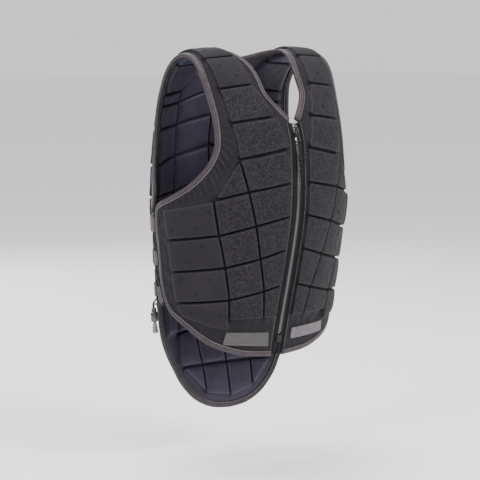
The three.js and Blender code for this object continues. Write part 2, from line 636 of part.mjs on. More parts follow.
// Webbing loops on both side edges: a folded band whose two ends meet the edge tape.
function addLoops() {
  const thick = half(LOOP.thick);
  const foot = LOOP_FOOT;
  const [outer, inner] = [foot + LOOP.reach, foot + LOOP.reach - LOOP.web];
  const inside = thick - LOOP.web;
  const section = [
    [foot, MIDDLE - thick], [outer - 2, MIDDLE - thick], [outer, MIDDLE - thick * 0.4], [outer, MIDDLE + thick * 0.4],
    [outer - 2, MIDDLE + thick], [foot, MIDDLE + thick], [foot, MIDDLE + inside], [inner - 1, MIDDLE + inside],
    [inner, MIDDLE + inside * 0.4], [inner, MIDDLE - inside * 0.4], [inner - 1, MIDDLE - inside],
    [foot, MIDDLE - inside],
  ];
  for (const [panel, rows, up] of [["front", FRONT_EDGE.side, true], ["back", BACK_EDGE.side, false]])
    LACE_LEVELS.forEach((level, i) => {
      const reach = half(LOOP.length) / FRONT_DROP;
      const ends = [level - reach, level, level + reach].map((at) => edgeAt(rows, at));
      const path = up ? ends : ends.toReversed();
      const mirrored = path.map((p) => new THREE.Vector2(-p.x, p.y)).toReversed();
      addPiece(`side_loop_${panel}_left_${i + 1}`, stripGeometry(path, () => section), "loop");
      addPiece(`side_loop_${panel}_right_${i + 1}`, stripGeometry(mirrored, () => section), "loop");
    });
}

// The lace's route on the left side: from the lock up through the loops, across the top and down again.
function laceRoute() {
  const aside = LOOP_FOOT + half(LOOP.reach - LOOP.web);
  const reach = (half(LOOP.length) + 2) / FRONT_DROP;
  const apart = half(LACE) + LACE_APART;
  const beside = (rows, way) => (level) => {
    const [p, q] = [level - ALONG, level + ALONG].map((at) => onForm(edgeAt(rows, at), MIDDLE));
    const normal = normalAt(...fromPattern(edgeAt(rows, level)));
    const out = q.clone().sub(p).cross(normal).normalize();
    return { normal, point: p.add(q).multiplyScalar(0.5).addScaledVector(out, way * aside) };
  };
  const front = beside(FRONT_EDGE.side, 1);
  const rear = beside(BACK_EDGE.side, -1);
  const [top, mid, low] = LACE_LEVELS;
  const through = (column, level, up) => [up ? -reach : reach, 0, up ? reach : -reach]
    .map((step) => column(level + step).point);
  const between = (a, b, lift) => {
    const [p, q] = [front(a), rear(b)];
    const out = p.normal.clone().add(q.normal).normalize();
    return p.point.clone().add(q.point).multiplyScalar(0.5).addScaledVector(out, lift);
  };
  const lock = frameOnForm(LOCK_ANGLE, LOCK_LEVEL, LOCK_HEIGHT);
  const lockTop = half(LOCK.length) + 2 * CLEAR;
  const strand = half(LACE) + LACE_APART;
  const end = (side) => [lockTop, lockTop + 2 * LACE].map((y) => new THREE.Vector3(side * strand, y, 0)
    .applyMatrix4(lock));
  return [
    ...end(-1), ...through(front, low, true), between(low, mid, apart), ...through(rear, mid, true),
    between(mid, top, -apart), ...through(front, top, true), between(top + 1.2 * reach, top + 1.2 * reach, 0),
    ...through(rear, top, false), between(mid, top, apart), ...through(front, mid, false),
    between(low, mid, -apart), ...through(rear, low, false), ...end(1).toReversed(),
  ];
}

function laceGeometry(route) {
  const curve = new THREE.CatmullRomCurve3(route, false, "centripetal");
  const shape = new THREE.Shape(Array.from({ length: 6 }, (_, k) =>
    new THREE.Vector2(half(LACE) * Math.cos((k * Math.PI) / 3), half(LACE) * Math.sin((k * Math.PI) / 3))));
  const steps = Math.round(curve.getLength() / (3.5 * LACE));
  return new THREE.ExtrudeGeometry(shape, { steps, extrudePath: curve, bevelEnabled: false });
}

// Half the outline of a turned piece with chamfered rims.
function roundProfile({ radius, length, rim }) {
  const top = half(length);
  return [[0, -top], [radius - rim, -top], [radius, rim - top], [radius, top - rim], [radius - rim, top], [0, top]]
    .map(([x, y]) => new THREE.Vector2(x, y));
}

function addLacing() {
  for (const [side, mirror] of [["left", 1], ["right", -1]]) {
    const route = laceRoute().map((p) => p.setX(mirror * p.x));
    addPiece(`side_lace_${side}`, laceGeometry(route), "lace");
    const lock = new THREE.LatheGeometry(roundProfile(LOCK), 12);
    const lockPlace = frameOnForm(mirror * LOCK_ANGLE, LOCK_LEVEL, LOCK_HEIGHT);
    addPiece(`cord_lock_${side}`, lock, "lock").applyMatrix4(lockPlace);
    const below = half(LOCK.length) + CLEAR;
    const { radius: wide, length: long, neck, rim } = CORD_END;
    const profile = [[0, -long], [wide - rim, -long], [wide, rim - long], [wide - rim, -neck], [half(LACE), -neck],
      [half(LACE), 0], [0, 0]];
    const end = new THREE.LatheGeometry(profile.map(([x, y]) => new THREE.Vector2(x, y)), 12);
    addPiece(`cord_end_${side}`, end.translate(0, -below, 0), "lock").applyMatrix4(lockPlace);
  }
}

function addLabels() {
  const low = SKIN_INSIDE + SKIN + CLEAR;
  const patches = [["rubber_patch", RUBBER_PATCH, "rubber"], ["woven_patch", WOVEN_PATCH, "woven"]];
  for (const [name, corners, finish] of patches)
    addPiece(name, sheetGeometry(corners, low, low + PATCH, 8), finish);
}

addPanels();
addBindings();
addZip();
addLoops();
addLacing();
addLabels();

export default vest;
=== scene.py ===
"""Looks of a riding body protector in its worn form.

The foam tiles, their outer mesh, the lining, the edge tapes, the zip, the laced sides and the two plain labels are
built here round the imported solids, in metres, with +Z up, the front facing -Y and +X the wearer's left.
"""
import logging
import math
from dataclasses import dataclass, field
from enum import Enum

import bpy
import numpy as np
from bpy.types import Material, Node, NodeSocket, NodeTree, Object
from mathutils import Matrix, Vector
from mathutils.geometry import delaunay_2d_cdt


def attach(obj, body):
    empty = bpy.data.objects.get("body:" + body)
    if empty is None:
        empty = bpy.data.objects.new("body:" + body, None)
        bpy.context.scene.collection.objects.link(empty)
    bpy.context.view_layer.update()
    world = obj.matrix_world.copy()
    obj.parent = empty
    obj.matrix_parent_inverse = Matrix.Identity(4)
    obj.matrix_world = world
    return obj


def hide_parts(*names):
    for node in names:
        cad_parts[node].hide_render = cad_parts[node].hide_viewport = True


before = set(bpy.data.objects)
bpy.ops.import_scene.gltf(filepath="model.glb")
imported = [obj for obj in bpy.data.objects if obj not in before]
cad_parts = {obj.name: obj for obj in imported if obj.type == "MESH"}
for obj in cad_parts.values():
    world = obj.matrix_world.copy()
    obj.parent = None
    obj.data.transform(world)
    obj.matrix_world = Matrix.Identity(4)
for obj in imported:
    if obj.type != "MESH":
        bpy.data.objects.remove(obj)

LOG = logging.getLogger("body_protector")
MM = 0.001
BODY = "root"
Array = np.ndarray
Triple = tuple[float, float, float]
Rows = list[tuple[float, float]]
Pairs = list[tuple[int, int]]
Faces = list[tuple[int, ...]]
Colour = tuple[float, float, float, float]
BLOCK = 4096


# ---------------------------------------------------------------- form and flat pattern

@dataclass(frozen=True)
class BodyForm:
    """The body inside the lining, in millimetres: levels run from 1 on the shoulder line to -1 at the zip's hem."""

    chest_width: float = 360.0
    chest_front: float = 114.0
    chest_back: float = 105.0
    yoke_rise: float = 168.0
    front_drop: float = 354.0
    shoulder_slope: float = 10.0
    collar_hollow: float = 0.13
    yoke_flare: float = 0.12
    # level, shares of half the width, of the front and of the back, and how square the back is
    sections: tuple[tuple[float, ...], ...] = (
        (0.0, 1.0, 1.0, 1.0, 2.0), (-0.14, 1.0, 1.018, 1.01, 2.05), (-0.28, 0.989, 0.991, 1.01, 2.2),
        (-0.45, 0.944, 0.895, 0.971, 2.4), (-0.62, 0.917, 0.772, 0.914, 2.6), (-0.79, 0.9, 0.64, 0.81, 2.8),
        (-0.96, 0.889, 0.526, 0.629, 3.0), (-1.13, 0.878, 0.456, 0.495, 3.0), (-1.31, 0.867, 0.404, 0.4, 3.0),
    )

    def shares(self, level: Array) -> Array:
        """Reads the section shares on a smooth curve through the table.

        Args:
            level: Levels, one for each point.

        Returns:
            Four shares for each level: width, front, back and squareness.
        """
        rows = np.array(self.sections)
        at = np.clip(level, rows[-1, 0], 0.0)
        i = np.clip(np.searchsorted(-rows[:, 0], -at, side="right") - 1, 0, len(rows) - 2)
        before = np.maximum(np.arange(len(rows)) - 1, 0)
        after = np.minimum(np.arange(len(rows)) + 1, len(rows) - 1)
        slope = (rows[after, 1:] - rows[before, 1:]) / (rows[after, :1] - rows[before, :1])
        span = (rows[i + 1, 0] - rows[i, 0])[:, None]
        t = (at[:, None] - rows[i, :1]) / span
        p, q = rows[i, 1:], rows[i + 1, 1:]
        m, n = slope[i] * span, slope[i + 1] * span
        return p + t * (m + t * (3 * (q - p) - 2 * m - n + t * (2 * (p - q) + m + n)))

    def half_width(self, level: Array) -> Array:
        """Half the lining's width at each level."""
        flare = self.yoke_flare * np.sin(np.pi / 2 * np.maximum(level, 0)) ** 2
        return self.chest_width / 2 * self.shares(np.minimum(level, 0))[:, 0] * (1 + flare)

    def lining(self, angle: Array, level: Array) -> Array:
        """Finds points of the lining face. Past level 1 the path goes on down the other side of the shoulder line.

        Args:
            angle: Degrees round the body, 0 at the zip and 180 at the spine.
            level: Levels of the same points.

        Returns:
            One point a row, in millimetres.
        """
        over = level > 1
        a = np.radians(np.where(over, 180 - angle, angle))
        level = np.where(over, 2 - level, level)
        rise = np.pi / 2 * np.maximum(level, 0)
        row = self.shares(np.minimum(level, 0))
        s, c = np.sin(a), np.cos(a)
        n = np.where(c > 0, 2.0, row[:, 3])
        q = (np.abs(s) ** n + np.abs(c) ** n) ** (1 / n)
        hollow = 1 - self.collar_hollow * np.sin(2 * rise) ** 2
        depth = np.where(c > 0, self.chest_front * row[:, 1] * hollow, self.chest_back * row[:, 2])
        x = self.half_width(level) * s / q
        fall = self.shoulder_slope * (x / (self.chest_width / 2) * np.sin(rise)) ** 2
        z = np.minimum(level, 0) * self.front_drop - self.yoke_rise * (1 - np.sin(rise)) - fall
        return np.stack([x, -depth * c / q * np.cos(rise), z], 1)

    def normal(self, angle: Array, level: Array) -> Array:
        """Outward normals of the lining face.

        Args:
            angle: Degrees round the body.
            level: Levels of the same points.

        Returns:
            One unit vector a row.
        """
        e = 1e-3
        round_it = self.lining(angle + 50 * e, level) - self.lining(angle - 50 * e, level)
        up = self.lining(angle, level + e) - self.lining(angle, level - e)
        n = np.cross(round_it, up)
        return unit(n)


class FlatPattern:
    """Lays the form out nearly true to size, in millimetres, so that tiles and grooves can be drawn flat."""

    def __init__(self, form: BodyForm) -> None:
        """Measures the way round the chest and up the yoke.

        Args:
            form: The body form to lay out.
        """
        self.form = form
        self.yoke_arc = np.pi / 2 * math.hypot(form.chest_front, form.yoke_rise) * math.sqrt(0.5)
        self.round = math.radians(form.chest_width / 2)
        self.angles = np.linspace(0, 180, 361)
        ring = form.lining(self.angles, np.full(361, -0.25))
        steps = np.linalg.norm(np.diff(ring, axis=0), axis=1)
        self.arcs = np.concatenate([[0], np.cumsum(steps)])

    def lay(self, places: Array) -> Array:
        """Turns places on the form into flat points.

        Args:
            places: Rows of angle and level.

        Returns:
            Flat points, one a row.
        """
        angle, level = places[:, 0], places[:, 1]
        folded = np.where(angle > 180, 360 - angle, np.abs(angle))
        x = np.interp(folded, self.angles, self.arcs)
        x = np.where(angle > 180, 2 * self.arcs[-1] - x, np.sign(angle) * x)
        return np.stack([x, level * np.where(level < 0, self.form.front_drop, self.yoke_arc)], 1)

    def place(self, flat: Array) -> Array:
        """Turns flat points back into places on the form.

        Args:
            flat: Flat points, one a row.

        Returns:
            Rows of angle and level.
        """
        x, y = flat[:, 0], flat[:, 1]
        full = self.arcs[-1]
        folded = np.where(x > full, 2 * full - x, np.abs(x))
        angle = np.interp(folded, self.arcs, self.angles)
        angle = np.where(x > full, 360 - angle, np.sign(x) * angle)
        return np.stack([angle, y / np.where(y < 0, self.form.front_drop, self.yoke_arc)], 1)

    def on_form(self, flat: Array, height: Array | float) -> Array:
        """Finds the points at a height over the lining face.

        Args:
            flat: Flat points, one a row.
            height: Millimetres outwards from the lining face, one for all or one each.

        Returns:
            Points on the form, in millimetres.
        """
        places = self.place(flat)
        lining = self.form.lining(places[:, 0], places[:, 1])
        return lining + self.form.normal(places[:, 0], places[:, 1]) * np.reshape(height, (-1, 1))

    def curve(self, rows: Rows, step: float) -> Array:
        """Follows the smooth edge through table rows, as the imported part's edges do.

        Args:
            rows: Angle and level of each knot.
            step: Millimetres between the points that are given back.

        Returns:
            Evenly spaced flat points from the first knot to the last.
        """
        scale = np.array([[self.round, self.form.front_drop if level < 0 else self.yoke_arc] for _, level in rows])
        knots = np.array(rows) * scale
        ends = np.vstack([knots[:1], knots, knots[-1:]])
        t = np.linspace(0, len(knots) - 1, 40 * len(knots))
        i = np.minimum(t.astype(int), max(len(knots) - 2, 0))
        w = (t - i)[:, None]
        p0, p1, p2, p3 = ends[i], ends[i + 1], ends[i + 2], ends[np.minimum(i + 3, len(ends) - 1)]
        v0, v1 = (p2 - p0) / 2, (p3 - p1) / 2
        line = (2 * p1 - 2 * p2 + v0 + v1) * w ** 3 + (3 * p2 - 3 * p1 - 2 * v0 - v1) * w ** 2 + v0 * w + p1
        low = line[:, 1] < 0
        upright = np.where(low, self.form.front_drop, self.yoke_arc)
        places = line / np.stack([np.full(len(line), self.round), upright], 1)
        return spaced(self.lay(places), step)


def unit(rows: Array) -> Array:
    """Brings each row to length 1."""
    return rows / np.linalg.norm(rows, axis=1, keepdims=True)


def travelled(line: Array) -> Array:
    """How far along a line each of its points lies."""
    return np.concatenate([[0], np.cumsum(np.linalg.norm(np.diff(line, axis=0), axis=1))])


def spaced(points: Array, step: float) -> Array:
    """Spaces points evenly along an open line.

    Args:
        points: The line's points.
        step: Wanted distance between two points.

    Returns:
        The first point, the last point and evenly spaced ones between them.
    """
    lengths = travelled(points)
    wanted = np.linspace(0, lengths[-1], max(int(round(lengths[-1] / step)), 1) + 1)
    return sampled(points, lengths, wanted)


def inset(polygon: Array, distances: Array) -> Array:
    """Moves an anticlockwise polygon's sides inwards, with true mitres.

    Args:
        polygon: The polygon's corners.
        distances: How far each side moves, from the side after the first corner on.

    Returns:
        The new corners.
    """
    u = unit(np.roll(polygon, -1, 0) - polygon)
    n = np.stack([-u[:, 1], u[:, 0]], 1)
    m, reach = np.roll(n, 1, 0), np.roll(distances, 1)
    cross = m[:, 0] * n[:, 1] - m[:, 1] * n[:, 0]
    flat = np.abs(cross) < 0.08
    safe = np.where(flat, 1, cross)
    x = (reach * n[:, 1] - distances * m[:, 1]) / safe
    y = (distances * m[:, 0] - reach * n[:, 0]) / safe
    straight = (n + m) / 2 * ((reach + distances) / 2)[:, None]
    return polygon + np.where(flat[:, None], straight, np.stack([x, y], 1))


def blocks(points: Array) -> list[Array]:
    """Splits many points into blocks that are measured one after the other, to save memory."""
    return np.array_split(points, len(points) // BLOCK + 1)


def nearest_on(points: Array, line: Array) -> tuple[Array, Array]:
    """Finds the nearest point of a line for each of many points.

    Args:
        points: Flat points.
        line: The line's points.

    Returns:
        The number of the nearest one, and how far it is.
    """
    found = []
    for part in blocks(points):
        far = np.linalg.norm(part[:, None] - line[None], axis=-1)
        nearest = far.argmin(1)
        found.append((nearest, far[np.arange(len(part)), nearest]))
    return np.concatenate([f[0] for f in found]), np.concatenate([f[1] for f in found])


def depth_in(points: Array, polygon: Array) -> Array:
    """Measures how deep points lie in a closed polygon.

    Args:
        points: Flat points.
        polygon: The polygon's corners.

    Returns:
        Distance to the nearest side, negative outside.
    """
    if len(points) > BLOCK:
        return np.concatenate([depth_in(part, polygon) for part in blocks(points)])
    a, b = polygon, np.roll(polygon, -1, 0)
    ab = b - a
    ap = points[:, None] - a[None]
    t = np.clip((ap * ab).sum(-1) / (ab * ab).sum(-1), 0, 1)
    far = np.linalg.norm(ap - t[..., None] * ab, axis=-1).min(1)
    px, py = points[:, :1], points[:, 1:]
    rise = np.where(np.abs(ab[:, 1]) < 1e-9, 1e-9, ab[:, 1])
    crossed = ((a[:, 1] > py) != (b[:, 1] > py)) & (px < ab[:, 0] * (py - a[:, 1]) / rise + a[:, 0])
    return np.where(crossed.sum(1) % 2 == 1, far, -far)


def ripples(points: Array, size: float, seed: int) -> Array:
    """Gives a soft random relief between about -1 and 1, the same on each run.

    Args:
        points: Flat points.
        size: Millimetres from crest to crest.
        seed: Number of the relief.

    Returns:
        One value a point.
    """
    chance = np.random.default_rng(seed)
    total = np.zeros(len(points))
    for _ in range(7):
        turn, phase, pitch = chance.uniform(0, 2 * np.pi), chance.uniform(0, 2 * np.pi), size * chance.uniform(0.7, 1.5)
        total += np.sin((points @ np.array([math.cos(turn), math.sin(turn)])) * 2 * np.pi / pitch + phase)
    return total / 3.5


def smooth(x: Array, low: float, high: float) -> Array:
    """Eases from 0 at one value to 1 at another."""
    t = np.clip((x - low) / (high - low), 0, 1)
    return t * t * (3 - 2 * t)


def lattice(corners: Array, pitch: float) -> Array:
    """Sets a square grid of points over the box of some corners.

    Args:
        corners: Flat points.
        pitch: Distance from point to point.

    Returns:
        The grid's points.
    """
    low, high = corners.min(0), corners.max(0)
    return np.stack(np.meshgrid(*(np.arange(low[k], high[k], pitch) for k in (0, 1))), -1).reshape(-1, 2)


def chained(loops: list[Array]) -> tuple[Array, Pairs]:
    """Sets closed loops one after the other.

    Args:
        loops: Each loop's points.

    Returns:
        All the points, and the pairs of them that stay joined.
    """
    lines, count = [], 0
    for loop in loops:
        lines += [(count + i, count + (i + 1) % len(loop)) for i in range(len(loop))]
        count += len(loop)
    return np.vstack(loops), lines


def meshed(points: Array, lines: Pairs) -> tuple[Array, Faces, dict[int, int]]:
    """Fills the outer loop with triangles that keep all the lines.

    Args:
        points: Flat points.
        lines: Pairs of points that stay joined.

    Returns:
        The mesh's flat points, its faces, and the new number of each point that was given.
    """
    flat, _, faces, origins, _, _ = delaunay_2d_cdt([Vector(p) for p in points], lines, [], 1, 1e-4)
    number = {k: i for i, found in enumerate(origins) for k in found}
    return np.array([tuple(p) for p in flat]), [tuple(f) for f in faces], number


# ---------------------------------------------------------------- meshes

@dataclass
class Shell:
    """Points in millimetres, faces, and what each point carries for its finish."""

    points: Array
    faces: Faces
    uv: Array | None = None
    marks: dict[str, Array] = field(default_factory=dict)

    def mirrored(self) -> "Shell":
        """The same shell on the other side of the body."""
        return Shell(self.points * np.array([-1, 1, 1]), [f[::-1] for f in self.faces], self.uv, self.marks)

    def joined(self, other: "Shell") -> "Shell":
        """This shell and another in one.

        Args:
            other: The other shell.

        Returns:
            A new shell with the points and faces of both.
        """
        count = len(self.points)
        faces = self.faces + [tuple(i + count for i in f) for f in other.faces]
        uv = None if self.uv is None or other.uv is None else np.vstack([self.uv, other.uv])
        marks = {k: np.concatenate([self.marks[k], other.marks[k]]) for k in self.marks if k in other.marks}
        return Shell(np.vstack([self.points, other.points]), faces, uv, marks)

    def piece(self, name: str, finish: Material) -> Object:
        """Makes the shell an object at the origin.

        Args:
            name: The piece's name.
            finish: Its material.

        Returns:
            The new object.
        """
        mesh = bpy.data.meshes.new(name)
        mesh.from_pydata((self.points * MM).tolist(), [], self.faces)
        if self.uv is not None:
            layer = mesh.uv_layers.new(name="cloth")
            corner = np.zeros(len(mesh.loops), np.int32)
            mesh.loops.foreach_get("vertex_index", corner)
            layer.data.foreach_set("uv", self.uv[corner].astype(np.float32).ravel())
        for key, values in self.marks.items():
            mesh.attributes.new(key, "FLOAT", "POINT").data.foreach_set("value", values.astype(np.float32))
        mesh.polygons.foreach_set("use_smooth", np.ones(len(mesh.polygons), bool))
        mesh.materials.append(finish)
        mesh.validate()
        piece = bpy.data.objects.new(name, mesh)
        bpy.context.scene.collection.objects.link(piece)
        return piece


def dress(piece: Object, slot: str, *nodes: str) -> Object:
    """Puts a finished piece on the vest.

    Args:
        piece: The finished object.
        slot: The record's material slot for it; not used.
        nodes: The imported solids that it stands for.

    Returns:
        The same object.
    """
    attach(piece, BODY)
    if nodes:
        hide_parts(*nodes)
    LOG.info("%s: %d faces", piece.name, len(piece.data.polygons))
    return piece


def sampled(values: Array, lengths: Array, at: Array) -> Array:
    """Reads rows of values between the points of a line.

    Args:
        values: One row a point.
        lengths: How far along the line each point lies.
        at: The lengths to read at.

    Returns:
        One row for each length.
    """
    return np.stack([np.interp(at, lengths, values[:, c]) for c in range(values.shape[1])], 1)


@dataclass(frozen=True)
class Rail:
    """A line along the form with the directions that a tape or band needs, all in millimetres."""

    points: Array
    normals: Array

    @staticmethod
    def over(pattern: FlatPattern, flats: list[Array], height: float) -> "Rail":
        """Lays a rail along flat lines that follow each other.

        Args:
            pattern: The flat pattern.
            flats: The lines, in order.
            height: Height over the lining face.

        Returns:
            The rail.
        """
        points = np.vstack([pattern.on_form(f, height) for f in flats])
        places = np.vstack([pattern.place(f) for f in flats])
        normals = pattern.form.normal(places[:, 0], places[:, 1])
        keep = np.concatenate([[True], np.linalg.norm(np.diff(points, axis=0), axis=1) > 1.2])
        return Rail(points[keep], normals[keep])

    @property
    def asides(self) -> Array:
        """Directions to the right of the rail, seen from outside.

        Returns:
            One unit vector a point.
        """
        return unit(np.cross(unit(np.gradient(self.points, axis=0)), self.normals))

    def sweep(self, section: Array) -> Shell:
        """Sweeps a closed section along the rail.

        Args:
            section: Rows of aside and height, anticlockwise as seen looking along the rail.

        Returns:
            A closed shell whose first UV runs along the rail and second round the section.
        """
        n, k = len(self.points), len(section)
        aside, normal = self.asides, self.normals
        points = (self.points[:, None] + aside[:, None] * section[None, :, :1] + normal[:, None] * section[None, :, 1:])
        faces = []
        for i in range(n - 1):
            for j in range(k):
                a, b = i * k + j, i * k + (j + 1) % k
                faces.append((a, a + k, b + k, b))
        faces.append(tuple(range(k)))
        faces.append(tuple((n - 1) * k + j for j in reversed(range(k))))
        uv = np.stack(np.broadcast_arrays(travelled(self.points)[:, None], travelled(section)[None]), -1).reshape(-1, 2)
        return Shell(points.reshape(-1, 3), faces, uv * MM)

    def dashes(self, aside: float, height: float, pitch: float, size: Triple) -> Shell:
        """Sews a row of stitches beside the rail.

        Args:
            aside: Distance of the row to the right of the rail.
            height: Height of the row over the rail.
            pitch: Distance from one stitch to the next.
            size: Length, width and height of a stitch.

        Returns:
            All the stitches in one shell.
        """
        track = self.points + self.asides * aside + self.normals * height
        lengths = travelled(track)
        middles = np.arange(pitch, lengths[-1] - pitch / 2, pitch)
        long, wide, tall = size
        centre = sampled(track, lengths, middles)
        along = unit(sampled(track, lengths, middles + 0.5) - sampled(track, lengths, middles - 0.5))
        normal = sampled(self.normals, lengths, middles)
        side = np.cross(along, normal)
        shape = [(-0.5, 0, -0.3), (-0.3, -0.5, 0), (-0.3, 0, 0.8), (-0.3, 0.5, 0), (0.3, -0.5, 0), (0.3, 0, 0.8),
                 (0.3, 0.5, 0), (0.5, 0, -0.3)]
        faces = [(0, 1, 2), (0, 2, 3), (0, 3, 1), (1, 4, 5, 2), (2, 5, 6, 3), (3, 6, 4, 1), (7, 5, 4), (7, 6, 5),
                 (7, 4, 6)]
        points = np.concatenate([centre[:, None] + along[:, None] * (p[0] * long) + side[:, None] * (p[1] * wide)
                                 + normal[:, None] * (p[2] * tall) for p in shape], 1)
        every = [tuple(i + 8 * m for i in f) for m in range(len(middles)) for f in faces]
        return Shell(points.reshape(-1, 3), every)


# ---------------------------------------------------------------- padded panels

class Weave(Enum):
    """How coarse the mesh over a tile is."""

    FINE = 0.0
    COARSE = 1.0


@dataclass(frozen=True)
class Tile:
    """A foam tile's foot: flat corners, anticlockwise, and the mesh over it."""

    corners: Array
    weave: Weave
    across: float = 2.7
    upright: float = 1.7
    rounding: float = 3.0

    def core(self) -> Array:
        """Moves the foot's corners in until only their rounding is left, with wider grooves across than upright.

        Returns:
            The corners that the foot is rounded about.
        """
        side = np.roll(self.corners, -1, 0) - self.corners
        groove = np.where(np.abs(side[:, 0]) > np.abs(side[:, 1]), self.across, self.upright)
        return inset(self.corners, groove / 2 + self.rounding)

    def depth(self, points: Array) -> Array:
        """How far inside the tile's rounded foot points lie, negative outside."""
        return depth_in(points, self.core()) + self.rounding

    def ring(self, inwards: float, step: float) -> Array:
        """Draws the rounded foot, moved inwards.

        Args:
            inwards: Distance inwards, less than the rounding.
            step: Distance between points on its straight sides.

        Returns:
            Points round the tile.
        """
        core = self.core()
        radius = self.rounding - inwards
        side = np.roll(core, -1, 0) - core
        length = np.linalg.norm(side, axis=1)
        out = np.stack([side[:, 1], -side[:, 0]], 1) / length[:, None]
        ring = []
        for k in range(len(core)):
            start, end = out[k - 1], out[k]
            turn = math.atan2(start[0] * end[1] - start[1] * end[0], float(start @ end))
            first = math.atan2(start[1], start[0])
            for j in range(6):
                a = first + turn * j / 5
                ring.append(core[k] + radius * np.array([math.cos(a), math.sin(a)]))
            parts = max(int(length[k] / step), 1)
            for j in range(1, parts):
                ring.append(core[k] + side[k] * j / parts + out[k] * radius)
        return np.array(ring)


@dataclass(frozen=True)
class Relief:
    """How a panel's face rises: heights over the lining face, widths and depths in millimetres."""

    skin: float
    face: float
    crown: float
    shoulder: float
    punched: bool
    creased: float
    back: float
    outwards: bool
    skirt: float


OUTER_RELIEF = Relief(skin=12.0, face=18.9, crown=1.2, shoulder=2.9, punched=True, creased=1.7, back=10.05,
                      outwards=True, skirt=0.5)
LINING_RELIEF = Relief(skin=8.0, face=1.3, crown=-1.3, shoulder=5.0, punched=False, creased=0.5, back=9.95,
                       outwards=False, skirt=0.2)


